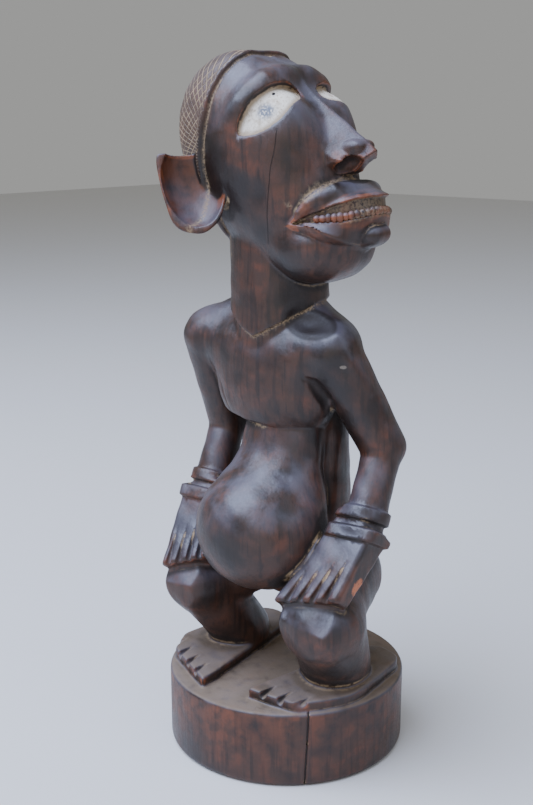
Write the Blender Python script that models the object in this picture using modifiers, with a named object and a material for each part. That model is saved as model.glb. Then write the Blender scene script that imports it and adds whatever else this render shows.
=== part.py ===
"""Ancestor figure: a crouching figure with its hands on its knees, carved with its plinth from one block of wood.

The block is roughed out from spheres, cones and a cylinder, joined by a voxel remesh, and then carved:
every point is moved onto the finished surface, which the functions below describe as a distance.
Frame: origin at the centre of the plinth's underside, +Z up, the body faces -Y and its left hand is at +X.
"""

import math

import bmesh
import bpy
import numpy as np
from mathutils import Matrix, Vector

# Driving dimensions, in metres
FIGURE_HEIGHT = 0.337
PLINTH_HEIGHT = 0.043
PLINTH_LONG_HALF = 0.0668
PLINTH_SHORT_HALF = 0.0628
PLINTH_TURN = math.radians(40.0)
PLINTH_RIM_ROUND = 0.0015
PLINTH_FOOT_ROUND = 0.001

# Finish of the mesh, in metres and triangles
ROUGH_VOXEL = 0.0030
FINE_VOXEL = 0.0014
TRIANGLES = 9600

# One carving unit is a millimetre on a figure of the real height. The carving below is in units,
# measured from the centre of the plinth's top, so it keeps its proportions at any height.
UNIT = FIGURE_HEIGHT / 337.0

# Body, in units, each limb with its joints from the trunk outward. The two sides aren't quite alike:
# the left shoulder stands closer to the neck, and the left leg is the stouter one.
NECK_RADIUS = 27.0
NECK_FOOT = (-3.0, -2.0, 190.0)
NECK_TOP = (-5.0, -2.0, 245.0)
CHEST_LEDGE_HEIGHT = 146.0
SHOULDER = {1: (35.0, -6.0, 187.0), -1: (49.5, -8.0, 186.0)}
ELBOW = {1: (54.5, 13.0, 136.0), -1: (50.5, 9.0, 134.0)}
WRIST = {1: (57.5, -8.0, 97.0), -1: (49.0, -10.0, 96.0)}
FINGERTIPS = {1: (44.0, -40.0, 60.0), -1: (42.0, -38.0, 60.0)}
HIP = {1: (30.0, 12.0, 57.0), -1: (26.0, 12.0, 57.0)}
KNEE = {1: (46.0, -29.0, 47.0), -1: (43.0, -27.0, 46.0)}
ANKLE = {1: (36.0, -1.0, 10.0), -1: (34.5, 0.0, 10.0)}
LEG_STOUTNESS = {1: 1.09, -1: 0.94}
BRACELET_PLACES = (-6.5, 4.5)
BRACELET_WIDTH = 7.0
BRACELET_PROUD = 2.0
HEEL = {1: (43.0, 38.0, 0.0), -1: (38.0, 38.0, 0.0)}
TOES = {1: (35.5, -46.5, 0.0), -1: (39.5, -44.5, 0.0)}
TOE_LINE = {1: math.radians(6.0), -1: math.radians(24.0)}
FOOT_HALF_WIDTH = 23.0

# Head, in units, in its own frame: it faces its own -Y, and its left ear is at +X
HEAD_CENTRE = (-10.0, -3.0, 283.5)
HEAD_TURN = math.radians(90.0)
HEAD_TILT = math.radians(20.0)
NOSE_ROOT = (31.0, 31.0)
NOSE_TIP = (66.0, -17.0)
EYE = ((9.0, -33.0, 27.0), (33.0, -8.0, 10.0))
EYE_FACING = (0.70, -0.62, 0.22)
EYE_HALF_HEIGHT = 7.7
BROW = ((0.0, -27.5, 32.0), (10.0, -27.5, 33.0), (23.0, -22.5, 30.5), (31.0, -11.0, 23.0), (32.5, -3.0, 14.0))
LIP_CENTRE = (0.0, -27.0, -42.0)
EAR = (44.0, 24.0, -6.0)


# Distances. Each function takes points as an array of rows and returns how far each is outside the form.
def blend(first, second, width):
    """Union whose inner corner is filled over the given width."""
    overlap = np.maximum(width - np.abs(first - second), 0.0) / width
    return np.minimum(first, second) - overlap * overlap * width * 0.25


def cut(form, tool, width):
    """Form with the tool taken out, its edges eased over the given width."""
    return -blend(-form, tool, width)


def keep(form, limit, width):
    """What form and limit share, its edges eased over the given width."""
    return -blend(-form, -limit, width)


def step_up(value, width):
    """Rises evenly from 0 to 1 while the value goes from minus half the width to plus half."""
    share = np.clip(value / width + 0.5, 0.0, 1.0)
    return share * share * (3.0 - 2.0 * share)


def ball(points, centre, radii):
    """Ellipsoid with its axes along the frame's."""
    offset = points - np.array(centre)
    near = np.linalg.norm(offset / np.array(radii), axis=1)
    steep = np.linalg.norm(offset / np.square(radii), axis=1)
    return near * (near - 1.0) / np.maximum(steep, 1e-9)


def egg(points, centre, radii, core):
    """Ellipsoid whose middle is widened by a flat core across the local X axis."""
    squeezed = points - np.array(centre)
    squeezed[:, 0] = np.maximum(np.abs(squeezed[:, 0]) - core, 0.0)
    return ball(squeezed, (0.0, 0.0, 0.0), radii)


def limb(points, start, end, start_radius, end_radius):
    """Round bar whose radius changes evenly from start to end."""
    start, end = np.array(start), np.array(end)
    along = end - start
    share = np.clip((points - start) @ along / (along @ along), 0.0, 1.0)
    nearest = start + share[:, None] * along
    return np.linalg.norm(points - nearest, axis=1) - (start_radius + (end_radius - start_radius) * share)


def chain(points, path, radii):
    """Round bar through several points."""
    bars = [limb(points, *path[i : i + 2], *radii[i : i + 2]) for i in range(len(path) - 1)]
    return np.min(bars, axis=0)


def plane(points, through, facing):
    """Half space behind a plane that faces the given way."""
    facing = np.array(facing) / np.linalg.norm(facing)
    return (points - np.array(through)) @ facing


def paddle(points, half_width, half_depth, rounding):
    """Bar along the local Y axis, whose half width and half depth may change from point to point."""
    beyond = np.stack([np.abs(points[:, 0]) - half_width, np.abs(points[:, 2]) - half_depth], 1) + rounding
    outside = np.linalg.norm(np.maximum(beyond, 0.0), axis=1)
    return outside + np.minimum(beyond.max(1), 0.0) - rounding


def axes_along(start, end, up):
    """Matrix whose columns are the local X, Y and Z axes of a bar from start to end, with local Z near up."""
    ahead = np.array(end, float) - np.array(start, float)
    ahead /= np.linalg.norm(ahead)
    above = np.array(up, float) - np.dot(up, ahead) * ahead
    above /= np.linalg.norm(above)
    return np.stack([np.cross(ahead, above), ahead, above], 1)


def head_axes():
    """Matrix whose columns are the head's own axes in the figure's frame."""
    return np.array(Matrix.Rotation(HEAD_TURN, 3, "Z") @ Matrix.Rotation(-HEAD_TILT, 3, "X"))


def mirrored(points, side):
    """Points seen as if the given side were the figure's left."""
    return points * np.array([side, 1.0, 1.0])


# The body
def torso(points):
    """Chest with its lower ledge, abdomen and hanging belly, back and hips."""
    left, right = SHOULDER[1], (-SHOULDER[-1][0], *SHOULDER[-1][1:])
    shoulders = limb(points, right, left, 13.5, 14.0)
    chest = blend(ball(points, (-3, -5, 168), (38, 24, 38)), shoulders, 14.0)
    chest = blend(chest, limb(points, (8, 2, 212), (30, -2, 192), 8.0, 13.0), 10.0)
    ledge = CHEST_LEDGE_HEIGHT - 0.15 * np.maximum(points[:, 1] + 20.0, 0.0)
    chest = keep(chest, ledge - points[:, 2], 2.0)
    squeezed = points * np.array([0.78, 1.0, 1.0])
    back = limb(squeezed, (1, 10, 70), (1, 6, 172), 25.0, 23.0)
    hips = ball(points, (0, 10, 61), (35, 23, 20))
    back = blend(back, hips, 14.0)
    abdomen = limb(points * np.array([0.85, 1.0, 1.0]), (0, -2, 152), (0, -10, 115), 20.5, 20.0)
    belly = ball(points, (0, -28, 89.5), (32.0, 31.0, 34.0))
    belly = blend(abdomen, belly, 20.0)
    form = blend(back, belly, 3.0)
    return blend(form, chest, 1.2)


def neck(points):
    """Thick round neck whose foot is cut to a point over the chest."""
    column = limb(points, NECK_FOOT, NECK_TOP, NECK_RADIUS, NECK_RADIUS - 1.5)
    hem = 194.0 + 0.5 * np.abs(points[:, 0] + 1.0) + 0.2 * np.maximum(points[:, 1] + 27.0, 0.0)
    return column + 2.0 * step_up(hem - points[:, 2], 3.0)


def arm(points, side):
    """Left arm: upper arm to a cut edge at the elbow, forearm, two bracelets and the hand."""
    upper = limb(points, SHOULDER[side], ELBOW[side], 14.5, 12.2)
    fore = limb(points, ELBOW[side], WRIST[side], 10.3, 10.6)
    form = blend(upper, fore, 1.5)
    form = blend(form, hand(points, side), 2.5)
    return form - bracelets(points, side)


def bracelets(points, side):
    """How far two flat bands stand out round the wrist."""
    axes = axes_along(ELBOW[side], WRIST[side], (0, 0, 1))
    local = (points - np.array(WRIST[side])) @ axes
    near = step_up(19.0 - np.hypot(local[:, 0], local[:, 2]), 4.0)
    bands = [step_up(BRACELET_WIDTH / 2 - np.abs(local[:, 1] - place), 1.6) for place in BRACELET_PLACES]
    return BRACELET_PROUD * near * np.max(bands, axis=0)


def hand(points, side):
    """Left hand, flat on the knee, with wedge-shaped cuts between its fingers."""
    wrist, tips = np.array(WRIST[side]), np.array(FINGERTIPS[side])
    axes = axes_along(wrist, tips, (0.0, -0.76, 0.65))
    local = (points - wrist) @ axes
    length = float(np.linalg.norm(tips - wrist))
    share = np.clip(local[:, 1] / length, 0.0, 1.2)
    form = paddle(local, 12.5 + 4.0 * share, 9.5 - 3.5 * share, 4.0)
    end = np.array((0.0, -0.65, -0.76))
    form = keep(form, np.maximum(plane(points, tips, end), -local[:, 1]), 2.0)
    lean = -float(end @ axes[:, 0]) / float(end @ axes[:, 1])
    for number in range(4):
        across = (number - 1.5) * 6.6
        front = length + lean * across
        start = (across * 0.8, front - length * 0.46, 7.8)
        form = cut(form, limb(local, start, (across, front + 2.0, 7.2), 0.3, 2.8), 0.5)
    return form


def leg(points, side):
    """Left leg: thigh, knee with its flat front and calf."""
    stout = LEG_STOUTNESS[side]
    hip, knee, ankle = (np.array(joint[side]) for joint in (HIP, KNEE, ANKLE))
    thigh = limb(points, hip, knee, 22.5 * stout, 17.0 * stout)
    cap = ball(points, knee + (0, -5, 3), np.array((17.5, 14.0, 14.0)) * stout)
    cap = keep(cap, plane(points, knee + (0, -11, 6), (0.1, -0.75, 0.65)), 1.0)
    calf = limb(points, knee + (0, 6, -4), ankle, 19.0 * stout, 18.0 * stout)
    return blend(blend(thigh, cap, 4.0), calf, 5.0)


def foot(points, side):
    """Left foot, flat on the plinth, with wedge-shaped cuts between its toes."""
    heel, toes = np.array(HEEL[side]), np.array(TOES[side])
    length = float(np.linalg.norm(toes - heel))
    local = (points - heel) @ axes_along(heel, toes, (0, 0, 1))
    lean = math.tan(math.atan2(toes[0] - heel[0], heel[1] - toes[1]) - TOE_LINE[side])
    reach = local[:, 1] + lean * local[:, 0]
    share = np.clip(local[:, 1] / length, 0.0, 1.0)
    form = paddle(local, 13.0 + (FOOT_HALF_WIDTH - 13.0) * share, 12.0 - 6.5 * share, 3.0)
    form = keep(form, np.maximum(reach - length, -local[:, 1]), 4.0)
    for number in range(4):
        across = (number - 1.5) * 9.6
        front = length - lean * across
        start = (across * 0.85, front - 14.0, 7.2)
        form = cut(form, limb(local, start, (across, front + 2.0, 5.2), 0.4, 3.2), 0.6)
    return form


# The head, in its own frame. Points come with their X made positive, so both sides are alike.
def skull(points):
    """Cranium, brow, face and jaw without their features."""
    cranium = egg(points, (0, 4.5, 15), (25.5, 37.0, 40.5), 10.0)
    form = blend(cranium, egg(points, (0, -3, -6), (26.0, 41.0, 40.0), 8.0), 8.0)
    form = blend(form, egg(points, (0, -10, -33), (23.0, 31.0, 28.0), 5.0), 10.0)
    form = blend(form, egg(points, (0, -27, -50), (16.0, 22.5, 19.0), 4.0), 6.0)
    return blend(form, chain(points, BROW, (4.0, 4.0, 4.0, 3.5, 2.0)), 9.0)


def hairline(points):
    """How far points are behind the edge of the hair."""
    rise = np.maximum(points[:, 2] - 8.0, 0.0)
    return 0.9 * (points[:, 1] - 17.0 + 0.25 * points[:, 2] + 0.0118 * rise * rise)


def hair(points):
    """How far the close cap of hair and its raised rim stand out from the skull."""
    behind = hairline(points)
    rim = step_up(2.6 - np.abs(behind - 2.4), 3.0)
    return 1.4 * step_up(behind, 3.0) + 0.8 * rim


def ear(points):
    """Cupped ear that opens forward, with a flat top."""
    axes = np.array(((0.73, 0.69, 0.0), (0.0, 0.0, 1.0), (0.69, -0.73, 0.0))).T
    local = (points - np.array(EAR)) @ axes
    shell = ball(local, (-2, 0, 0), (15.5, 24.0, 8.0))
    shell = keep(shell, local[:, 1] - 19.0, 2.0)
    bowl = ball(local, (-3.0, -1.0, 14.0), (14.5, 23.0, 15.0))
    return cut(shell, bowl, 1.5)


def nose(points):
    """Wedge with a sharp ridge, its flared wings and the hollows under them."""
    slope = (NOSE_TIP[0] - NOSE_ROOT[0]) / (NOSE_ROOT[1] - NOSE_TIP[1])
    ridge = NOSE_ROOT[0] + slope * (NOSE_ROOT[1] - points[:, 2])
    wedge = (0.83 * np.abs(points[:, 0]) - 0.56 * (points[:, 1] + ridge)) / 1.08
    under = plane(points, (0, -NOSE_TIP[0], NOSE_TIP[1] - 1.0), (0, 0.30, -1.0))
    wedge = keep(wedge, under, 2.0)
    wedge = keep(wedge, np.abs(points[:, 1] + 45.0) - 26.0, 1.0)
    wing = ball(points, (10.0, -50.0, -15.0), (7.0, 10.5, 7.0))
    wing = keep(wing, under - 1.5, 1.5)
    hollow = ball(points, (8.0, -52.0, -23.5), (5.0, 8.0, 5.0))
    return cut(blend(wedge, wing, 2.0), hollow, 0.8)


def eye(points):
    """How far points are inside the eye's almond outline, and where they are in the eye's own frame."""
    local = (points - (np.array(EYE[0]) + np.array(EYE[1])) / 2) @ axes_along(*EYE, EYE_FACING)
    half_length = float(np.linalg.norm(np.subtract(*EYE))) / 2
    both = half_length * half_length / EYE_HALF_HEIGHT
    radius, offset = (both + EYE_HALF_HEIGHT) / 2, (both - EYE_HALF_HEIGHT) / 2
    return radius - np.hypot(local[:, 1], np.abs(local[:, 0]) + offset), local


def eye_hollow(points):
    """How deep the eye lies in the face: deepest under the brow, hardly sunk at its lower edge."""
    inside, local = eye(points)
    upward = local[:, 0] if axes_along(*EYE, EYE_FACING)[2, 0] > 0 else -local[:, 0]
    depth = np.clip(0.8 + 0.2 * (upward + EYE_HALF_HEIGHT), 0.5, 3.6)
    return depth * step_up(inside, 3.0) * step_up(local[:, 2] + 15.0, 6.0)


def mouth(points):
    """Projecting lips that meet at the corners, parted in front over a row of teeth."""
    raised = points.copy()
    raised[:, 2] -= 0.16 * (points[:, 1] + 63.0)
    upper = egg(raised, LIP_CENTRE, (19.0, 36.0, 17.0), 8.0)
    upper = keep(upper, LIP_CENTRE[2] - 0.5 - raised[:, 2], 2.0)
    opening = LIP_CENTRE[2] - 1.5 - 0.24 * np.maximum(-points[:, 1] - 26.0, 0.0)
    lower = egg(raised, (0, -26, LIP_CENTRE[2] - 3.0), (19.5, 32.0, 21.0), 6.0)
    lower = keep(lower, raised[:, 2] - opening, 2.0)
    lower = keep(lower, plane(points, (0, -46, -65), (0, 1.2, -1)), 2.0)
    boss = ball(points, (0, -53, -58.0), (9.5, 7.5, 7.0))
    teeth = egg(raised, (0, -27, LIP_CENTRE[2] - 2.0), (17.0, 31.5, 15.0), 8.0)
    teeth = keep(teeth, plane(points, (0, -46, -62), (0, 1.2, -1)), 2.0)
    return blend(blend(upper, teeth, 0.5), blend(lower, boss, 1.2), 0.6)


def head(points):
    """The whole head, in the figure's frame."""
    local = (points - np.array(HEAD_CENTRE)) @ head_axes()
    local[:, 0] = np.abs(local[:, 0])
    form = skull(local) - hair(local) + eye_hollow(local)
    form = blend(form, ear(local), 1.5)
    form = blend(form, nose(local), 2.0)
    return blend(form, mouth(local), 1.5)


# The whole block
def plinth_side(points):
    """How far points are outside the plinth's oval outline, whose long way across is turned from the body's."""
    long_way = points[:, 0] * math.cos(PLINTH_TURN) + points[:, 1] * math.sin(PLINTH_TURN)
    short_way = points[:, 0] * math.sin(PLINTH_TURN) - points[:, 1] * math.cos(PLINTH_TURN)
    return np.hypot(long_way, short_way * PLINTH_LONG_HALF / PLINTH_SHORT_HALF) - PLINTH_LONG_HALF / UNIT


def plinth(points):
    """Slightly oval plinth."""
    height = PLINTH_HEIGHT / UNIT
    form = keep(plinth_side(points), points[:, 2], PLINTH_RIM_ROUND / UNIT * 4.0)
    return keep(form, -points[:, 2] - height, PLINTH_FOOT_ROUND / UNIT * 4.0)


def figure(points):
    """Distance to the whole carved block, in units, from points in the figure's frame."""
    form = blend(torso(points), neck(points), 0.8)
    form = blend(form, head(points), 1.5)
    for side in (1, -1):
        near = mirrored(points, side)
        form = blend(form, arm(near, side), 2.0)
        form = blend(form, leg(near, side), 3.0)
        form = blend(form, keep(foot(near, side), plinth_side(points) + 2.5, 2.0), 2.5)
    return blend(form, plinth(points), 1.5)


# The rough block, in units
def add_ball(block, centre, radii, axes=None, origin=(0, 0, 0)):
    """Adds a rough ellipsoid to the block."""
    turn = Matrix(axes.tolist()).to_4x4() if axes is not None else Matrix.Identity(4)
    place = Matrix.Translation(origin) @ turn @ Matrix.Translation(centre) @ Matrix.Diagonal((*radii, 1.0))
    bmesh.ops.create_uvsphere(block, u_segments=24, v_segments=14, radius=1.0, matrix=place)


def add_bar(block, start, end, start_radius, end_radius):
    """Adds a rough round bar to the block."""
    start, end = Vector(start), Vector(end)
    turn = (end - start).to_track_quat("Z", "Y").to_matrix().to_4x4()
    place = Matrix.Translation((start + end) / 2) @ turn
    bmesh.ops.create_cone(block, cap_ends=True, segments=24, radius1=start_radius, radius2=end_radius,
                          depth=(end - start).length, matrix=place)
    add_ball(block, start, (start_radius,) * 3)
    add_ball(block, end, (end_radius,) * 3)


def add_slab(block, start, end, radii):
    """Adds a rough ellipsoid that is radii wide and high, and a little longer than from start to end."""
    axes = axes_along(start, end, (0, 0, 1))
    middle = (np.array(start, float) + np.array(end, float)) / 2
    half_length = float(np.linalg.norm(np.subtract(end, start))) / 2 + 6.0
    add_ball(block, (0, 0, 0), (radii[0], half_length, radii[1]), axes, middle)


def rough_block():
    """Mesh object of overlapping primitives, close to the finished form."""
    block = bmesh.new()
    height = PLINTH_HEIGHT / UNIT
    place = Matrix.Translation((0, 0, -height / 2)) @ Matrix.Rotation(PLINTH_TURN, 4, "Z")
    place = place @ Matrix.Scale(PLINTH_SHORT_HALF / PLINTH_LONG_HALF, 4, (0, 1, 0))
    bmesh.ops.create_cone(block, cap_ends=True, segments=48, radius1=PLINTH_LONG_HALF / UNIT,
                          radius2=PLINTH_LONG_HALF / UNIT, depth=height, matrix=place)
    add_bar(block, (0, 8, 66), (0, 5, 172), 26, 25)
    add_bar(block, (0, -5, 150), (0, -28, 90), 20.5, 31)
    add_ball(block, (-3, -4, 170), (38, 23, 37))
    add_bar(block, NECK_FOOT, NECK_TOP, NECK_RADIUS, NECK_RADIUS)
    for side in (1, -1):
        def at(joint):
            return (joint[side][0] * side, *joint[side][1:])
        add_bar(block, (0, 0, SHOULDER[side][2]), at(SHOULDER), 14, 14)
        add_bar(block, at(SHOULDER), at(ELBOW), 15, 13)
        add_bar(block, at(ELBOW), at(WRIST), 12, 11)
        add_slab(block, at(WRIST), at(FINGERTIPS), (19, 12))
        add_bar(block, at(HIP), at(KNEE), 22, 17)
        add_bar(block, at(KNEE), at(ANKLE), 19, 19)
        add_slab(block, at(HEEL), at(TOES), (25, 9))
    axes = head_axes()
    forms = (((0, 6, 18), (36, 41, 41)), ((0, -2, -4), (34, 42, 42)), ((0, -8, -34), (29, 36, 30)),
             ((0, -28, -42), (30, 39, 24)), ((0, -42, 4), (8, 20, 20)))
    for centre, radii in forms:
        add_ball(block, centre, radii, axes, HEAD_CENTRE)
    for side in (1, -1):
        add_ball(block, (EAR[0] * side, *EAR[1:]), (13, 12, 21), axes, HEAD_CENTRE)
    mesh = bpy.data.meshes.new("block")
    block.to_mesh(mesh)
    block.free()
    mesh.transform(Matrix.Translation((0, 0, PLINTH_HEIGHT)) @ Matrix.Scale(UNIT, 4))
    return mesh


def with_modifier(mesh, kind, **settings):
    """Mesh after one modifier."""
    obj = bpy.data.objects.new("work", mesh)
    bpy.context.scene.collection.objects.link(obj)
    modifier = obj.modifiers.new(kind.title(), kind)
    for name, value in settings.items():
        setattr(modifier, name, value)
    graph = bpy.context.evaluated_depsgraph_get()
    result = bpy.data.meshes.new_from_object(obj.evaluated_get(graph))
    bpy.data.objects.remove(obj)
    return result


def relaxed(points, edges):
    """Points drawn halfway towards the middle of their neighbours."""
    total, count = np.zeros_like(points), np.zeros(len(points))
    for here, there in (edges.T, edges.T[::-1]):
        for axis in range(3):
            total[:, axis] += np.bincount(here, points[there, axis], len(points))
        count += np.bincount(here, minlength=len(points))
    return (points + total / count[:, None]) / 2


def carve(mesh, passes):
    """Moves every point of the mesh onto the finished surface."""
    flat = np.empty(len(mesh.vertices) * 3)
    mesh.vertices.foreach_get("co", flat)
    points = flat.reshape(-1, 3) / UNIT - np.array([0.0, 0.0, PLINTH_HEIGHT / UNIT])
    ends = np.empty(len(mesh.edges) * 2, dtype=np.int32)
    mesh.edges.foreach_get("vertices", ends)
    corners = np.array([[1, -1, -1], [-1, -1, 1], [-1, 1, -1], [1, 1, 1]], float)
    step = 0.05
    for number in range(passes):
        if number > 0:
            points = relaxed(points, ends.reshape(-1, 2))
        around = [figure(points + corner * step) for corner in corners]
        distance = sum(around) / 4.0
        slope = sum(d[:, None] * c for d, c in zip(around, corners)) / (4.0 * step)
        steepness = np.maximum((slope * slope).sum(1), 0.25)
        points -= np.clip(distance / steepness, -4.0, 4.0)[:, None] * slope
    points[:, 2] += PLINTH_HEIGHT / UNIT
    mesh.vertices.foreach_set("co", (points * UNIT).ravel())
    mesh.update()


def level_underside(mesh):
    """Sets the plinth's underside on exactly one level, so the figure rests on all of it."""
    for vertex in mesh.vertices:
        if vertex.co.z < 0.0002:
            vertex.co.z = 0.0
    mesh.update()


def wood():
    """Dark, waxed wood."""
    material = bpy.data.materials.new("dark_wood")
    material.use_nodes = True
    shader = material.node_tree.nodes["Principled BSDF"]
    shader.inputs["Base Color"].default_value = (0.045, 0.022, 0.014, 1.0)
    shader.inputs["Roughness"].default_value = 0.38
    return material


def main():
    """Builds the figure."""
    for obj in list(bpy.data.objects):
        bpy.data.objects.remove(obj)
    mesh = with_modifier(rough_block(), "REMESH", mode="VOXEL", voxel_size=ROUGH_VOXEL)
    carve(mesh, 5)
    mesh = with_modifier(mesh, "REMESH", mode="VOXEL", voxel_size=FINE_VOXEL)
    carve(mesh, 2)
    mesh = with_modifier(mesh, "TRIANGULATE")
    mesh = with_modifier(mesh, "DECIMATE", ratio=TRIANGLES / len(mesh.polygons))
    level_underside(mesh)
    mesh.name = "ancestor_figure"
    collection = bpy.data.collections.new("ancestor_figure")
    bpy.context.scene.collection.children.link(collection)
    obj = bpy.data.objects.new("figure", mesh)
    collection.objects.link(obj)
    mesh.materials.append(wood())
    mesh.shade_smooth()
    mesh.set_sharp_from_angle(angle=math.radians(40.0))


main()
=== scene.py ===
"""Ancestor figure in dark waxed wood: the detailed carving that stands for the CAD block.

The classes below describe the carving as a distance, in millimetres from the centre of the plinth's top.
The distance is sampled on a grid, a net of faces is laid between inside and outside, and every point of the
net is moved onto the surface.
The body faces -Y, its left hand is at +X, and its head is turned to look along +X.
"""

import logging
import math
from collections.abc import Callable
from concurrent.futures import ThreadPoolExecutor
from dataclasses import dataclass, field
from enum import Enum

import bmesh
import bpy
import numpy as np
from mathutils import Matrix, Vector

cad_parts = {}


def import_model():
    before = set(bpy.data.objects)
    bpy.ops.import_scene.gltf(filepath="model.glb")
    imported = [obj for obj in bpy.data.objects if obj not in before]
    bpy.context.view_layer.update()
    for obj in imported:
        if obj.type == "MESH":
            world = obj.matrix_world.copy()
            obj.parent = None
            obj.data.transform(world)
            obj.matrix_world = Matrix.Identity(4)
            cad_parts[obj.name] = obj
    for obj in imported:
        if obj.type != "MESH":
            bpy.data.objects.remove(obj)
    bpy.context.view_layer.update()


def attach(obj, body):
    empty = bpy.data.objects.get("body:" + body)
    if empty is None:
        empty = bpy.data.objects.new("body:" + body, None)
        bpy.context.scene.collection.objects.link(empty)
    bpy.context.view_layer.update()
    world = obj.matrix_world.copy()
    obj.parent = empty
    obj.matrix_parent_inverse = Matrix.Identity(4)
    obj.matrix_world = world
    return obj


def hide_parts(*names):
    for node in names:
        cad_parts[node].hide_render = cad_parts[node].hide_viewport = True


Array = np.ndarray
Vec3 = tuple[float, float, float]

LOG = logging.getLogger("ancestor_figure")
MILLIMETRE = 0.001
PLINTH_HEIGHT = 43.0
FAR = 40.0
BATCH = 16384


# Distances. Each function takes points as an array of rows and returns how far each is outside the form.
def blend(first: Array, second: Array, width: float) -> Array:
    """Union of two forms.

    Args:
        first: Distance to one form.
        second: Distance to the other form.
        width: Width over which the inner corner between them is filled.

    Returns:
        Distance to both forms together.
    """
    overlap = np.maximum(width - np.abs(first - second), 0.0) / width
    return np.minimum(first, second) - overlap * overlap * width * 0.25


def cut(form: Array, tool: Array, width: float) -> Array:
    """Form with a tool taken out of it.

    Args:
        form: Distance to the form.
        tool: Distance to the tool.
        width: Width over which the cut's edges are eased.

    Returns:
        Distance to what is left.
    """
    return -blend(-form, tool, width)


def keep(form: Array, limit: Array, width: float) -> Array:
    """What two forms share.

    Args:
        form: Distance to the form.
        limit: Distance to the form that it is kept within.
        width: Width over which the edge between them is eased.

    Returns:
        Distance to what they share.
    """
    return -blend(-form, -limit, width)


def step_up(value: Array, width: float) -> Array:
    """Even rise from 0 to 1.

    Args:
        value: What is measured.
        width: Span of value, centred on 0, over which the result rises.

    Returns:
        0 below the span, 1 above it.
    """
    share = np.clip(value / width + 0.5, 0.0, 1.0)
    return share * share * (3.0 - 2.0 * share)


def bump(value: Array, half_width: float) -> Array:
    """Round ridge profile.

    Args:
        value: Distance from the middle of the ridge.
        half_width: Where the ridge ends.

    Returns:
        1 on the middle and 0 at the ends.
    """
    share = np.clip(1.0 - np.abs(value) / half_width, 0.0, 1.0)
    return share * share * (3.0 - 2.0 * share)


def ball(points: Array, centre: Vec3, radii: Vec3) -> Array:
    """Ellipsoid with its axes along the frame's.

    Args:
        points: Points to measure from.
        centre: Its centre.
        radii: Its three radii.

    Returns:
        Distance outside it.
    """
    offset = points - np.array(centre)
    near = np.linalg.norm(offset / np.array(radii), axis=1)
    steep = np.linalg.norm(offset / np.square(radii), axis=1)
    return near * (near - 1.0) / np.maximum(steep, 1e-9)


def egg(points: Array, centre: Vec3, radii: Vec3, core: float) -> Array:
    """Ellipsoid whose middle is widened by a flat core across the local X axis.

    Args:
        points: Points to measure from.
        centre: Its centre.
        radii: Its three radii.
        core: Half the core's width.

    Returns:
        Distance outside it.
    """
    squeezed = points - np.array(centre)
    squeezed[:, 0] = np.maximum(np.abs(squeezed[:, 0]) - core, 0.0)
    return ball(squeezed, (0.0, 0.0, 0.0), radii)


def limb(points: Array, start: Vec3, end: Vec3, start_radius: float, end_radius: float) -> Array:
    """Round bar whose radius changes evenly.

    Args:
        points: Points to measure from.
        start: One end of its axis.
        end: The other end of its axis.
        start_radius: Radius at the start.
        end_radius: Radius at the end.

    Returns:
        Distance outside it.
    """
    first, along = np.array(start), np.array(end) - np.array(start)
    share = np.clip((points - first) @ along / (along @ along), 0.0, 1.0)
    nearest = first + share[:, None] * along
    return np.linalg.norm(points - nearest, axis=1) - (start_radius + (end_radius - start_radius) * share)


def chain(points: Array, path: tuple[Vec3, ...], radii: tuple[float, ...]) -> Array:
    """Round bar through several points.

    Args:
        points: Points to measure from.
        path: Points of its axis.
        radii: Radius at each of them.

    Returns:
        Distance outside it.
    """
    bars = [limb(points, *path[i : i + 2], *radii[i : i + 2]) for i in range(len(path) - 1)]
    return np.min(bars, axis=0)


def plane(points: Array, through: Vec3, facing: Vec3) -> Array:
    """Half space behind a plane.

    Args:
        points: Points to measure from.
        through: A point on the plane.
        facing: The way that the plane faces.

    Returns:
        Distance in front of the plane.
    """
    normal = np.array(facing) / np.linalg.norm(facing)
    return (points - np.array(through)) @ normal


def paddle(points: Array, half_width: Array, half_depth: Array, rounding: float) -> Array:
    """Bar along the local Y axis with a rectangular section that may change along it.

    Args:
        points: Points to measure from, in the bar's own frame.
        half_width: Half its width at each point.
        half_depth: Half its depth at each point.
        rounding: Radius of its long edges.

    Returns:
        Distance outside it.
    """
    beyond = np.stack([np.abs(points[:, 0]) - half_width, np.abs(points[:, 2]) - half_depth], 1) + rounding
    outside = np.linalg.norm(np.maximum(beyond, 0.0), axis=1)
    return outside + np.minimum(beyond.max(1), 0.0) - rounding


def axes_along(start: Vec3, end: Vec3, up: Vec3) -> Array:
    """Frame of a bar.

    Args:
        start: One end of the bar.
        end: The other end of the bar.
        up: The way that its local Z lies near.

    Returns:
        Matrix whose columns are its local X, Y and Z axes.
    """
    ahead = np.array(end, float) - np.array(start, float)
    ahead /= np.linalg.norm(ahead)
    above = np.array(up, float) - np.dot(up, ahead) * ahead
    above /= np.linalg.norm(above)
    return np.stack([np.cross(ahead, above), ahead, above], 1)


def only_near(points: Array, low: Vec3, high: Vec3, distance: Callable[[Array], Array]) -> Array:
    """Distance to a form that is worked out only inside a box round it.

    Args:
        points: Points to measure from.
        low: Lowest corner of the box.
        high: Highest corner of the box.
        distance: Distance function of the form.

    Returns:
        Distance to the form, or FAR outside the box.
    """
    inside = np.all((points > np.array(low)) & (points < np.array(high)), axis=1)
    result = np.full(len(points), FAR)
    if inside.any():
        result[inside] = distance(points[inside])
    return result


class Side(Enum):
    """A side of the body, with the sign of its X."""

    LEFT = 1
    RIGHT = -1


@dataclass(frozen=True)
class Joints:
    """Places of one side's joints, in millimetres, with X counted away from the middle."""

    shoulder: Vec3
    elbow: Vec3
    wrist: Vec3
    fingertips: Vec3
    hip: Vec3
    knee: Vec3
    ankle: Vec3
    heel: Vec3
    toes: Vec3
    finger_end: Vec3
    toe_line: float
    stoutness: float


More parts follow.
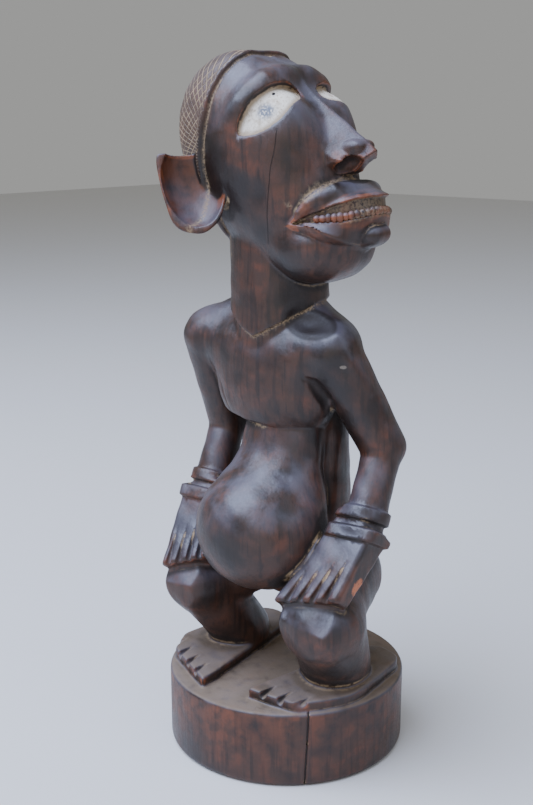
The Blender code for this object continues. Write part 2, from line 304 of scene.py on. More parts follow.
POSE = {
    Side.LEFT: Joints(
        shoulder=(35.0, -6.0, 187.0), elbow=(54.5, 13.0, 136.0), wrist=(57.5, -8.0, 97.0),
        fingertips=(46.5, -38.5, 61.0), hip=(27.0, 12.0, 57.0), knee=(46.0, -29.0, 47.0),
        ankle=(36.0, -1.0, 10.0), heel=(43.0, 38.0, 0.0), toes=(38.0, -45.5, 0.0),
        finger_end=(0.25, -0.62, -0.74), toe_line=math.radians(6.0), stoutness=1.09,
    ),
    Side.RIGHT: Joints(
        shoulder=(49.5, -8.0, 186.0), elbow=(50.5, 9.0, 134.0), wrist=(49.0, -10.0, 96.0),
        fingertips=(40.5, -38.0, 60.5), hip=(26.0, 12.0, 57.0), knee=(43.0, -27.0, 46.0),
        ankle=(34.5, 0.0, 10.0), heel=(38.0, 38.0, 0.0), toes=(39.5, -44.5, 0.0),
        finger_end=(-0.42, -0.55, -0.72), toe_line=math.radians(24.0), stoutness=0.94,
    ),
}


@dataclass(frozen=True)
class Torso:
    """Chest with its lower ledge, pear-shaped belly, back and hips."""

    chest_centre: Vec3 = (-3.0, -5.0, 168.0)
    chest_radii: Vec3 = (38.0, 24.0, 38.0)
    shoulder_radii: tuple[float, float] = (13.5, 14.0)
    left_slope: tuple[Vec3, Vec3] = ((8.0, 2.0, 212.0), (30.0, -2.0, 192.0))
    right_slope: tuple[Vec3, Vec3] = ((-18.0, -2.0, 206.0), (-46.0, -6.0, 190.0))
    ledge_height: float = 146.0
    ledge_fall_back: float = 0.15
    ledge_fall_left: float = 0.12
    back_narrowing: float = 0.78
    spine: tuple[Vec3, Vec3] = ((1.0, 10.0, 70.0), (1.0, 6.0, 172.0))
    spine_radii: tuple[float, float] = (25.0, 23.0)
    hips_centre: Vec3 = (0.0, 10.0, 61.0)
    hips_radii: Vec3 = (35.0, 23.0, 20.0)
    abdomen: tuple[Vec3, Vec3] = ((3.0, -1.0, 152.0), (3.0, -11.0, 115.0))
    abdomen_radius: float = 22.0
    abdomen_narrowing: Vec3 = (0.85, 1.12, 1.0)
    belly_centre: Vec3 = (2.0, -24.5, 89.5)
    belly_radii: Vec3 = (36.5, 34.0, 34.0)
    seam_depth: float = 1.6
    seam_foot: float = 96.0
    low: Vec3 = (-75.0, -70.0, 25.0)
    high: Vec3 = (65.0, 50.0, 235.0)

    def distance(self, points: Array) -> Array:
        """Distance outside the torso.

        Args:
            points: Points to measure from.

        Returns:
            One distance for each point, in millimetres.
        """
        left, right = POSE[Side.LEFT].shoulder, POSE[Side.RIGHT].shoulder
        shoulders = limb(points, (-right[0], *right[1:]), left, *self.shoulder_radii)
        chest = blend(ball(points, self.chest_centre, self.chest_radii), shoulders, 14.0)
        chest = blend(chest, limb(points, *self.left_slope, 8.0, 13.0), 10.0)
        chest = blend(chest, limb(points, *self.right_slope, 9.0, 13.0), 6.0)
        ledge = self.ledge_height - self.ledge_fall_back * np.maximum(points[:, 1] + 20.0, 0.0)
        chest = keep(chest, ledge - self.ledge_fall_left * points[:, 0] - points[:, 2], 2.0)
        squeezed = points * np.array([self.back_narrowing, 1.0, 1.0])
        back = limb(squeezed, *self.spine, *self.spine_radii)
        back = blend(back, ball(points, self.hips_centre, self.hips_radii), 14.0)
        slimmed = points * np.array(self.abdomen_narrowing)
        abdomen = limb(slimmed, *self.abdomen, self.abdomen_radius, self.abdomen_radius)
        belly = blend(abdomen, ball(points, self.belly_centre, self.belly_radii), 16.0)
        seam = self.seam_depth * bump(back - belly, 5.0) * step_up(points[:, 2] - self.seam_foot, 20.0)
        return blend(blend(back, belly, 1.5) + seam, chest, 0.8)


@dataclass(frozen=True)
class Neck:
    """Thick round neck whose foot is cut to a point over the chest."""

    foot: Vec3 = (-3.0, -2.0, 190.0)
    top: Vec3 = (-5.0, -2.0, 245.0)
    radius: float = 27.0
    hem_height: float = 194.0
    low: Vec3 = (-40.0, -40.0, 155.0)
    high: Vec3 = (35.0, 40.0, 275.0)

    def hem(self, points: Array) -> Array:
        """Height of the neck's cut edge above each point."""
        rise = 0.5 * np.abs(points[:, 0] + 1.0) + 0.2 * np.maximum(points[:, 1] + self.radius, 0.0)
        return self.hem_height + rise - points[:, 2]

    def distance(self, points: Array) -> Array:
        """Distance outside the neck."""
        column = limb(points, self.foot, self.top, self.radius, self.radius - 1.5)
        return column + 2.0 * step_up(self.hem(points), 2.0)


@dataclass(frozen=True)
class Arm:
    """Arm with a cut edge at the elbow, two flat bracelets and a hand laid on the knee."""

    joints: Joints
    bracelet_places: tuple[float, ...] = (-6.5, 4.5)
    bracelet_width: float = 7.0
    bracelet_proud: float = 2.0
    upper_radii: tuple[float, float] = (14.5, 12.2)
    fore_radii: tuple[float, float] = (10.3, 10.6)
    hand_facing: Vec3 = (0.0, -0.76, 0.65)
    finger_pitch: float = 6.6
    low: Vec3 = (14.0, -65.0, 38.0)
    high: Vec3 = (85.0, 40.0, 215.0)

    def distance(self, points: Array) -> Array:
        """Distance outside the arm.

        Args:
            points: Points to measure from.

        Returns:
            One distance for each point, in millimetres.
        """
        joints = self.joints
        upper = limb(points, joints.shoulder, joints.elbow, *self.upper_radii)
        fore = limb(points, joints.elbow, joints.wrist, *self.fore_radii)
        form = blend(blend(upper, fore, 1.5), self.hand(points), 2.5)
        return form - self.bracelets(points)

    def bracelets(self, points: Array) -> Array:
        """How far the bracelets stand out round the wrist.

        Args:
            points: Points to measure from.

        Returns:
            Height at each point, in millimetres.
        """
        wrist = self.joints.wrist
        local = (points - np.array(wrist)) @ axes_along(self.joints.elbow, wrist, (0, 0, 1))
        near = step_up(19.0 - np.hypot(local[:, 0], local[:, 2]), 4.0)
        away = [np.abs(local[:, 1] - place) for place in self.bracelet_places]
        bands = [step_up(self.bracelet_width / 2 - distance, 1.4) for distance in away]
        return self.bracelet_proud * near * np.max(bands, axis=0)

    def hand(self, points: Array) -> Array:
        """Distance outside the hand, with wedge-shaped cuts between its fingers.

        Args:
            points: Points to measure from.

        Returns:
            One distance for each point, in millimetres.
        """
        wrist, tips = np.array(self.joints.wrist), np.array(self.joints.fingertips)
        axes = axes_along(wrist, tips, self.hand_facing)
        local = (points - wrist) @ axes
        length = float(np.linalg.norm(tips - wrist))
        share = np.clip(local[:, 1] / length, 0.0, 1.2)
        form = paddle(local, 12.5 + (17.0 * self.joints.stoutness - 13.5) * share, 9.5 - 3.5 * share, 3.0)
        end = np.array(self.joints.finger_end)
        form = keep(form, np.maximum(plane(points, tuple(tips), tuple(end)), -local[:, 1]), 2.0)
        lean = -float(end @ axes[:, 0]) / float(end @ axes[:, 1])
        for number in range(4):
            across = (number - 1.5) * self.finger_pitch
            front = length + lean * across
            narrow = (local - (across, 0.0, 0.0)) * (1.5, 1.0, 1.0)
            narrow[:, 0] += across * 0.25 * (1.0 - share)
            groove = limb(narrow, (0.0, front - length * 0.48, 7.9), (0.0, front + 2.0, 6.0), 0.3, 3.2)
            form = cut(form, groove / 1.3, 0.4)
        return form


@dataclass(frozen=True)
class Leg:
    """Thigh, knee with its flat front, and calf."""

    joints: Joints
    thigh_radii: tuple[float, float] = (22.5, 17.0)
    calf_radii: tuple[float, float] = (19.0, 18.0)
    cap_radii: Vec3 = (18.0, 19.0, 17.0)
    facet_place: Vec3 = (0.0, -15.5, 5.0)
    facet_facing: Vec3 = (0.1, -0.75, 0.65)
    front_place: Vec3 = (0.0, -16.5, 0.0)
    front_facing: Vec3 = (0.0, -1.0, -0.15)
    low: Vec3 = (-12.0, -65.0, -4.0)
    high: Vec3 = (80.0, 45.0, 95.0)

    def distance(self, points: Array) -> Array:
        """Distance outside the leg.

        Args:
            points: Points to measure from.

        Returns:
            One distance for each point, in millimetres.
        """
        stout = self.joints.stoutness
        joints = (self.joints.hip, self.joints.knee, self.joints.ankle)
        hip, knee, ankle = (np.array(joint) for joint in joints)
        thigh = limb(points, hip, knee, *(radius * stout for radius in self.thigh_radii))
        cap = ball(points, knee + (0, -2, 1), np.array(self.cap_radii) * stout)
        cap = keep(cap, plane(points, knee + self.facet_place, self.facet_facing), 0.8)
        cap = keep(cap, plane(points, knee + self.front_place, self.front_facing), 0.8)
        calf = limb(points, knee + (0, 6, -4), ankle, *(radius * stout for radius in self.calf_radii))
        return blend(blend(thigh, cap, 4.0), calf, 5.0)


@dataclass(frozen=True)
class Foot:
    """Broad flat foot with wedge-shaped cuts between its toes."""

    joints: Joints
    half_width: float = 25.5
    toe_pitch: float = 10.6
    low: Vec3 = (-2.0, -70.0, -6.0)
    high: Vec3 = (80.0, 60.0, 22.0)

    def distance(self, points: Array) -> Array:
        """Distance outside the foot.

        Args:
            points: Points to measure from.

        Returns:
            One distance for each point, in millimetres.
        """
        heel, toes = np.array(self.joints.heel), np.array(self.joints.toes)
        length = float(np.linalg.norm(toes - heel))
        local = (points - heel) @ axes_along(heel, toes, (0, 0, 1))
        lean = math.tan(math.atan2(toes[0] - heel[0], heel[1] - toes[1]) - self.joints.toe_line)
        reach = local[:, 1] + lean * local[:, 0]
        share = np.clip(local[:, 1] / length, 0.0, 1.0)
        form = paddle(local, 13.0 + (self.half_width - 13.0) * share, 6.2 - 0.2 * share, 2.0)
        heel_end = np.hypot(local[:, 0], np.minimum(local[:, 1] - 14.0, 0.0)) - 15.0 - 14.0 * share
        form = keep(form, np.maximum(reach - length, heel_end), 2.0)
        for number in range(4):
            across = (number - 1.5) * self.toe_pitch
            front = length - lean * across
            narrow = (local - (across, 0.0, 0.0)) * (1.5, 1.0, 1.0)
            groove = limb(narrow, (0.0, front - 15.0, 7.2), (0.0, front + 2.0, 5.4), 0.4, 3.7)
            form = cut(form, groove / 1.3, 0.5)
        return form


@dataclass(frozen=True)
class Head:
    """Head with its cap of hair, cupped ears, almond eyes, wedge nose and thick parted lips."""

    centre: Vec3 = (-10.0, -3.0, 283.5)
    turn: float = math.radians(90.0)
    tilt: float = math.radians(20.0)
    nose_root: tuple[float, float] = (31.0, 31.0)
    nose_tip: tuple[float, float] = (65.0, -17.0)
    eye_corners: tuple[Vec3, Vec3] = ((7.6, -37.2, 24.8), (35.8, -8.2, 6.8))
    eye_facing: Vec3 = (0.70, -0.62, 0.22)
    eye_half_height: float = 9.2
    eye_sag: float = 2.2
    brow: tuple[Vec3, ...] = (
        (0.0, -27.5, 32.5), (10.0, -29.0, 33.5), (21.0, -26.5, 30.5), (30.0, -16.0, 23.5), (33.0, -5.0, 13.0),
    )
    lip_axis: float = 24.0
    lip_reach: float = 37.7
    lip_half_width: float = 27.0
    lip_roll: tuple[Vec3, ...] = (
        (27.0, -26.5, -39.5), (26.2, -30.0, -37.0), (24.0, -35.0, -34.6), (20.5, -40.0, -33.2),
        (15.0, -44.5, -32.9), (8.0, -47.3, -33.8), (0.0, -48.2, -35.0),
    )
    ear_centre: Vec3 = (44.0, 24.0, -6.0)
    ear_radii: Vec3 = (18.0, 25.0, 12.5)
    ear_bowl_radii: Vec3 = (15.0, 22.0, 11.0)
    wing_centre: Vec3 = (3.0, -48.5, -13.8)
    wing_radii: Vec3 = (8.8, 12.4, 5.4)
    nostril_centre: Vec3 = (7.5, -51.5, -21.2)
    nostril_radii: Vec3 = (4.6, 8.4, 4.6)
    lip_boss_centre: Vec3 = (0.0, -49.0, -56.0)
    lip_boss_radii: Vec3 = (6.0, 8.4, 5.8)
    low: Vec3 = (-80.0, -75.0, 195.0)
    high: Vec3 = (75.0, 70.0, 350.0)

    def axes(self) -> Array:
        """Matrix whose columns are the head's own axes in the figure's frame."""
        return np.array(Matrix.Rotation(self.turn, 3, "Z") @ Matrix.Rotation(-self.tilt, 3, "X"))

    def own_frame(self, points: Array) -> Array:
        """Points in the head's own frame, which faces its own -Y, with X made positive.

        Args:
            points: Points to measure from.

        Returns:
            The same points in the head's own frame.
        """
        local = (points - np.array(self.centre)) @ self.axes()
        local[:, 0] = np.abs(local[:, 0])
        return local

    def distance(self, points: Array) -> Array:
        """Distance outside the head, from points in the figure's frame.

        Args:
            points: Points to measure from.

        Returns:
            One distance for each point, in millimetres.
        """
        local = self.own_frame(points)
        form = self.skull(local) - self.hair(local) + self.eye_hollow(local)
        form = blend(form, self.ear(local), 1.5)
        form = blend(form, self.nose(local), 2.0)
        return blend(form, self.mouth(local), 1.5)

    def skull(self, local: Array) -> Array:
        """Distance outside the cranium, brow, face and jaw without their features.

        Args:
            local: Points in the head's own frame.

        Returns:
            One distance for each point, in millimetres.
        """
        form = blend(egg(local, (0, 4.5, 15), (25.5, 37.0, 40.5), 10.0),
                     egg(local, (0, -3, -6), (26.0, 41.0, 40.0), 8.0), 8.0)
        form = blend(form, egg(local, (0, -10, -33), (23.0, 31.0, 28.0), 5.0), 10.0)
        form = blend(form, ball(local, (19.0, -9.0, 6.0), (15.0, 32.5, 28.0)), 8.0)
        chin = keep(egg(local, (0, -24, -48), (14.0, 21.0, 26.0), 2.0), -68.0 - local[:, 2], 4.0)
        form = blend(form, chin, 4.0)
        jaw = keep(egg(local, (0, -20, -50), (20.0, 24.0, 20.0), 8.0), local[:, 2] + 44.0, 11.0)
        form = blend(form, jaw, 8.0)
        return blend(form, chain(local, self.brow, (4.0, 4.0, 4.0, 3.5, 2.0)), 9.0)

    def hairline(self, local: Array) -> Array:
        """How far points are behind the edge of the hair.

        Args:
            local: Points in the head's own frame.

        Returns:
            Millimetres behind the edge at each point, and negative in front of it.
        """
        rise = np.maximum(local[:, 2] - 8.0, 0.0)
        line = 17.0 - 0.25 * local[:, 2] - 0.0118 * rise * rise - 3.6 * bump(local[:, 2] - 22.0, 26.0)
        return 0.9 * (local[:, 1] - line)

    def hair(self, local: Array) -> Array:
        """How far the close cap of hair and its raised rim stand out from the skull."""
        behind = self.hairline(local)
        return 1.0 * step_up(behind, 1.4) + 1.1 * bump(behind - 2.3, 2.6) - 0.5 * bump(behind + 0.9, 1.5)

    def ear(self, local: Array) -> Array:
        """Distance outside the cupped ear, which opens forward and has a flat top.

        Args:
            local: Points in the head's own frame.

        Returns:
            One distance for each point, in millimetres.
        """
        axes = np.array(((0.73, 0.69, 0.0), (0.0, 0.0, 1.0), (0.69, -0.73, 0.0))).T
        own = (local - np.array(self.ear_centre)) @ axes
        shell = ball(own, (-3.0, 0.0, 3.0), self.ear_radii)
        shell = keep(keep(shell, own[:, 1] - 0.2 * own[:, 0] - 17.0, 0.8), own[:, 0] - 11.0, 4.5)
        shell = keep(shell, own[:, 2] - 4.5, 0.8)
        return cut(shell, ball(own, (-4.6, 0.0, 5.5), self.ear_bowl_radii), 0.6)

    def nose(self, local: Array) -> Array:
        """Distance outside the flat-sided wedge of the nose, with its flared wings and nostrils.

        Args:
            local: Points in the head's own frame.

        Returns:
            One distance for each point, in millimetres.
        """
        side, ahead, up = local[:, 0], -local[:, 1], local[:, 2]
        root, tip = self.nose_root, self.nose_tip
        ridge = root[0] + (tip[0] - root[0]) / (root[1] - tip[1]) * (root[1] - up)
        wedge = (1.35 * (np.hypot(side, 0.8) - 0.5) + ahead - ridge) / 1.68
        under = plane(local, (0, -tip[0], tip[1] - 1.5), (0, -0.37, -0.93))
        base = -24.5 + 0.045 * side * side - up
        ends = np.maximum(np.abs(ahead - 45.0) - 26.0, side - 13.0)
        wedge = keep(keep(wedge, np.maximum(under, base), 1.0), ends, 1.0)
        wing = keep(ball(local, self.wing_centre, self.wing_radii), side - 8.6, 3.0)
        wing = keep(wing, -17.0 - up, 0.8)
        nostril = ball(local, self.nostril_centre, self.nostril_radii)
        return cut(blend(wedge, wing, 0.8), nostril, 0.4)

    def eye(self, local: Array) -> tuple[Array, Array]:
        """Where points are round the eye.

        Args:
            local: Points in the head's own frame.

        Returns:
            How far they are inside the eye's almond outline, and the points in the eye's own frame.
        """
        first, second = self.eye_corners
        own = (local - (np.array(first) + np.array(second)) / 2) @ axes_along(first, second, self.eye_facing)
        half_length = float(np.linalg.norm(np.subtract(first, second))) / 2
        both = half_length * half_length / self.eye_half_height
        radius, offset = (both + self.eye_half_height) / 2, (both - self.eye_half_height) / 2
        bent = own[:, 1] * (1.0 + 0.007 * own[:, 1])
        sag = self.eye_sag * np.maximum(1.0 - np.square(own[:, 1] / half_length), 0.0)
        leaf = np.hypot(bent, np.abs(own[:, 0] - sag) + offset) - radius
        return -keep(leaf, np.abs(own[:, 1]) - half_length + 3.0, 4.0), own

    def eye_hollow(self, local: Array) -> Array:
        """How deep the eye lies in the face.

        Args:
            local: Points in the head's own frame.

        Returns:
            Depth at each point, in millimetres.
        """
        inside, own = self.eye(local)
        flip = 1.0 if axes_along(*self.eye_corners, self.eye_facing)[2, 0] > 0 else -1.0
        depth = np.clip(0.5 + 0.17 * (flip * own[:, 0] + self.eye_half_height), 0.5, 2.8)
        return depth * step_up(inside, 1.2) * step_up(own[:, 2] + 15.0, 6.0)

    def lip_turn(self, local: Array) -> Array:
        """How far points are from the upright axis that the lips curve round, as if straight ahead."""
        ahead = np.maximum(-local[:, 1] - self.lip_axis, 0.0)
        return np.hypot(ahead, local[:, 0] * self.lip_reach / self.lip_half_width)

    def lip_lines(self, local: Array) -> tuple[Array, Array, Array]:
        """Heights of the mouth's long edges at each point.

        Args:
            local: Points in the head's own frame.

        Returns:
            Heights of the upper lip's lower edge, the foot of the teeth and the lower lip's lower edge.
        """
        side = local[:, 0]
        pinch = np.minimum(side / self.lip_half_width, 1.0) ** 6
        edge = -38.3 - 1.0 * bump(side, 18.0) - 2.0 * pinch
        teeth = -47.6 + 5.3 * pinch
        lower = -62.0 + 0.27 * side + 9.0 * np.minimum(side / 30.0, 1.0) ** 6
        return edge, teeth, lower

    def mouth(self, local: Array) -> Array:
        """Distance outside the everted lips and the band that the teeth stand on.

        Args:
            local: Points in the head's own frame.

        Returns:
            One distance for each point, in millimetres.
        """
        side, ahead, up = local[:, 0], -local[:, 1], local[:, 2]
        edge, teeth, chin = self.lip_lines(local)
        turn = self.lip_turn(local)
        behind = 15.0 - ahead
        cone = keep((turn - self.lip_reach + 1.15 * (up - edge)) / 1.52, turn - self.lip_reach, 1.6)
        roll = chain(local, self.lip_roll, (0.8, 2.4, 3.8, 5.0, 5.8, 6.0, 5.6))
        upper = keep(blend(cone, roll, 3.0), np.maximum(edge - up, behind), 0.8)
        band = keep(turn - self.lip_reach + 3.2 - 0.2 * (up + 40.0), np.maximum(teeth - up, behind), 0.5)
        band = keep(band, up - edge - 2.0, 0.5)
        bow = np.sqrt(np.maximum(1.0 - np.square(side / self.lip_half_width), 0.0))
        top = self.lip_axis + (self.lip_reach - 3.4) * bow
        foot = self.lip_axis + 22.0 * np.maximum(1.0 - (side / 31.0) ** 4, 0.0) ** 0.25
        crest = teeth + 0.3 + 1.2 * np.minimum(side / self.lip_half_width, 1.0) ** 8
        share = np.clip((crest - up) / np.maximum(crest - chin, 0.5), 0.0, 1.0)
        lower = (ahead - top - (foot - top) * share - 3.0 * share * (1.0 - share)) / 1.5
        under = chin + 0.6 * np.maximum(36.0 - ahead, 0.0)
        limits = np.maximum(np.maximum(up - crest, under - up), np.maximum(side - 30.0, 20.0 - ahead))
        boss = egg(local, self.lip_boss_centre, self.lip_boss_radii, 3.0)
        lower = blend(keep(lower, limits, 0.9), boss, 0.6)
        return blend(blend(upper, band, 0.4), lower, 0.5)


@dataclass(frozen=True)
class Plinth:
    """Slightly oval plinth with an upright side."""

    long_half: float = 66.8
    short_half: float = 62.8
    turn: float = math.radians(40.0)
    rim_round: float = 0.6
    foot_round: float = 1.0
    check_depth: float = 1.2
    check_half_width: float = 0.8
    check_facing: Vec3 = (0.643, 0.766, -0.047)
    check_way_out: Vec3 = (0.766, -0.643, 0.0)
    check_start: float = 53.0

    def side(self, points: Array) -> Array:
        """How far points are outside the plinth's outline.

        Args:
            points: Points to measure from.

        Returns:
            Millimetres at each point, and negative inside.
        """
        long_way = points[:, 0] * math.cos(self.turn) + points[:, 1] * math.sin(self.turn)
        short_way = points[:, 0] * math.sin(self.turn) - points[:, 1] * math.cos(self.turn)
        return np.hypot(long_way, short_way * self.long_half / self.short_half) - self.long_half

    def distance(self, points: Array) -> Array:
        """Distance outside the plinth.

        Args:
            points: Points to measure from.

        Returns:
            One distance for each point, in millimetres.
        """
        form = keep(self.side(points), points[:, 2], self.rim_round * 4.0)
        form = keep(form, -points[:, 2] - PLINTH_HEIGHT, self.foot_round * 4.0)
        return form + self.check_depth * bump(self.check(points), self.check_half_width)

    def check(self, points: Array) -> Array:
        """How far points are to one side of the drying check in the plinth, or FAR beyond its ends.

        Args:
            points: Points to measure from.

        Returns:
            Millimetres at each point.
        """
        beside = points @ np.array(self.check_facing)
        outward = points @ np.array(self.check_way_out)
        return np.where(outward > self.check_start, beside, FAR)


@dataclass(frozen=True)
class Tooling:
    """Hollows and grooves that cross from one form to the next, and low facets left by the adze."""

    gouges: tuple[tuple[Vec3, Vec3], ...] = (((29.0, -18.0, 205.0), (13.5, 8.0, 7.0)),)
    grooves: tuple[tuple[tuple[Vec3, ...], tuple[float, ...]], ...] = (
        (
            ((26.0, -24.5, 176.0), (32.0, -19.0, 171.5), (35.5, -11.0, 161.0), (34.5, -5.5, 139.0)),
            (0.8, 3.3, 3.8, 2.8),
        ),
        (((-32.0, -22.5, 170.0), (-26.0, -24.0, 158.0), (-20.0, -24.0, 149.0)), (0.4, 1.4, 0.6)),
    )
    facet_depth: float = 0.22
    ridge: tuple[Vec3, ...] = ((42.5, -12.0, 196.5), (48.5, -10.0, 185.0), (54.5, -1.5, 169.0))

    def worked(self, form: Array, points: Array) -> Array:
        """Distance to the form after the hollows, grooves and ridge.

        Args:
            form: Distance to the form before it is worked.
            points: Points to measure from.

        Returns:
            One distance for each point, in millimetres.
        """
        form = blend(form, only_near(points, (30, -30, 150), (70, 15, 210), self.ridge_distance), 5.0)
        for centre, radii in self.gouges:
            form = cut(form, ball(points, centre, radii), 2.0)
        for path, radii in self.grooves:
            form = cut(form, chain(points, path, radii), 1.0)
        return form + self.facet_depth * self.facets(points)

    def facets(self, points: Array) -> Array:
        """Slow unevenness of a surface cut by hand, between -1 and 1."""
        bent = points @ np.array([0.31, 0.12, 0.10]) + 1.3 * np.sin(points @ np.array([0.05, -0.21, 0.13]))
        return np.sin(bent) * np.sin(points @ np.array([-0.08, 0.27, 0.24]) + 0.7)

    def ridge_distance(self, points: Array) -> Array:
        """Distance outside the ridge down the front of the left shoulder."""
        return chain(points, self.ridge, (1.0, 1.6, 0.6))


@dataclass(frozen=True)
class TeethRow:
    """Row of bead-like teeth, set along the curve of the lips with geometry nodes."""

    count: int = 25
    radius: float = 1.9
    inset: float = 4.3
    above_foot: float = 2.0
    smallest: Vec3 = (0.85, 0.85, 1.0)
    largest: Vec3 = (1.1, 1.05, 1.35)
    reach_angle: float = math.radians(66.0)
    seed: int = 5

    def path(self, head: "Head") -> Array:
        """Places along the curve that the teeth stand on, in millimetres.

        Args:
            head: The head whose lips the row follows.

        Returns:
            One place a row.
        """
        angles = np.linspace(-self.reach_angle, self.reach_angle, 48)
        side = head.lip_half_width * np.sin(angles)
        ahead = head.lip_axis + (head.lip_reach - self.inset) * np.cos(angles)
        local = np.stack([side, -ahead, np.zeros_like(side)], 1)
        measured = np.stack([np.abs(side), -ahead, np.zeros_like(side)], 1)
        local[:, 2] = head.lip_lines(measured)[1] + self.above_foot
        return local @ head.axes().T + np.array(head.centre)

    def tree(self) -> bpy.types.NodeTree:
        """Node tree that turns a path into a row of uneven beads.

        Returns:
            The node tree.
        """
        tree = bpy.data.node_groups.new("teeth_row", "GeometryNodeTree")
        sockets = (
            ("Geometry", "NodeSocketGeometry"), ("Count", "NodeSocketInt"), ("Radius", "NodeSocketFloat"),
            ("Seed", "NodeSocketInt"), ("Material", "NodeSocketMaterial"),
        )
        for name, kind in sockets:
            tree.interface.new_socket(name, in_out="INPUT", socket_type=kind)
        tree.interface.new_socket("Geometry", in_out="OUTPUT", socket_type="NodeSocketGeometry")
        given = add_node(tree, "NodeGroupInput").outputs
        curve = add_node(tree, "GeometryNodeMeshToCurve", {"Mesh": given["Geometry"]})
        spacing = {"Curve": curve.outputs[0], "Count": given["Count"]}
        places = add_node(tree, "GeometryNodeResampleCurve", spacing)
        bead = add_node(tree, "GeometryNodeMeshIcoSphere", {"Radius": given["Radius"], "Subdivisions": 3})
        scales = {"Min": self.smallest, "Max": self.largest, "Seed": given["Seed"]}
        uneven = add_node(tree, "FunctionNodeRandomValue", scales, data_type="FLOAT_VECTOR")
        row = {"Points": places.outputs[0], "Instance": bead.outputs[0], "Scale": uneven.outputs[0]}
        beads = add_node(tree, "GeometryNodeInstanceOnPoints", row)
        real = add_node(tree, "GeometryNodeRealizeInstances", {"Geometry": beads.outputs[0]})
        finish = {"Geometry": real.outputs[0], "Material": given["Material"]}
        dressed = add_node(tree, "GeometryNodeSetMaterial", finish)
        add_node(tree, "NodeGroupOutput", {"Geometry": dressed.outputs[0]})
        return tree

    def build(self, head: "Head", wood: bpy.types.Material) -> bpy.types.Mesh:
        """Builds the row.

        Args:
            head: The head whose lips the row follows.
            wood: The finish.

        Returns:
            Mesh of all the beads.
        """
        points = (self.path(head) + np.array([0.0, 0.0, PLINTH_HEIGHT])) * MILLIMETRE
        path = bpy.data.meshes.new("teeth_path")
        path.from_pydata(points.tolist(), [(i, i + 1) for i in range(len(points) - 1)], [])
        obj = bpy.data.objects.new("teeth_path", path)
        bpy.context.scene.collection.objects.link(obj)
        modifier = obj.modifiers.new("Teeth", "NODES")
        modifier.node_group = self.tree()
        size = self.radius * MILLIMETRE
        values = {"Count": self.count, "Radius": size, "Seed": self.seed, "Material": wood}
        for item in modifier.node_group.interface.items_tree:
            if item.in_out == "INPUT" and item.name in values:
                modifier[item.identifier] = values[item.name]
        made = bpy.data.meshes.new_from_object(obj.evaluated_get(bpy.context.evaluated_depsgraph_get()))
        bpy.data.objects.remove(obj)
        return made


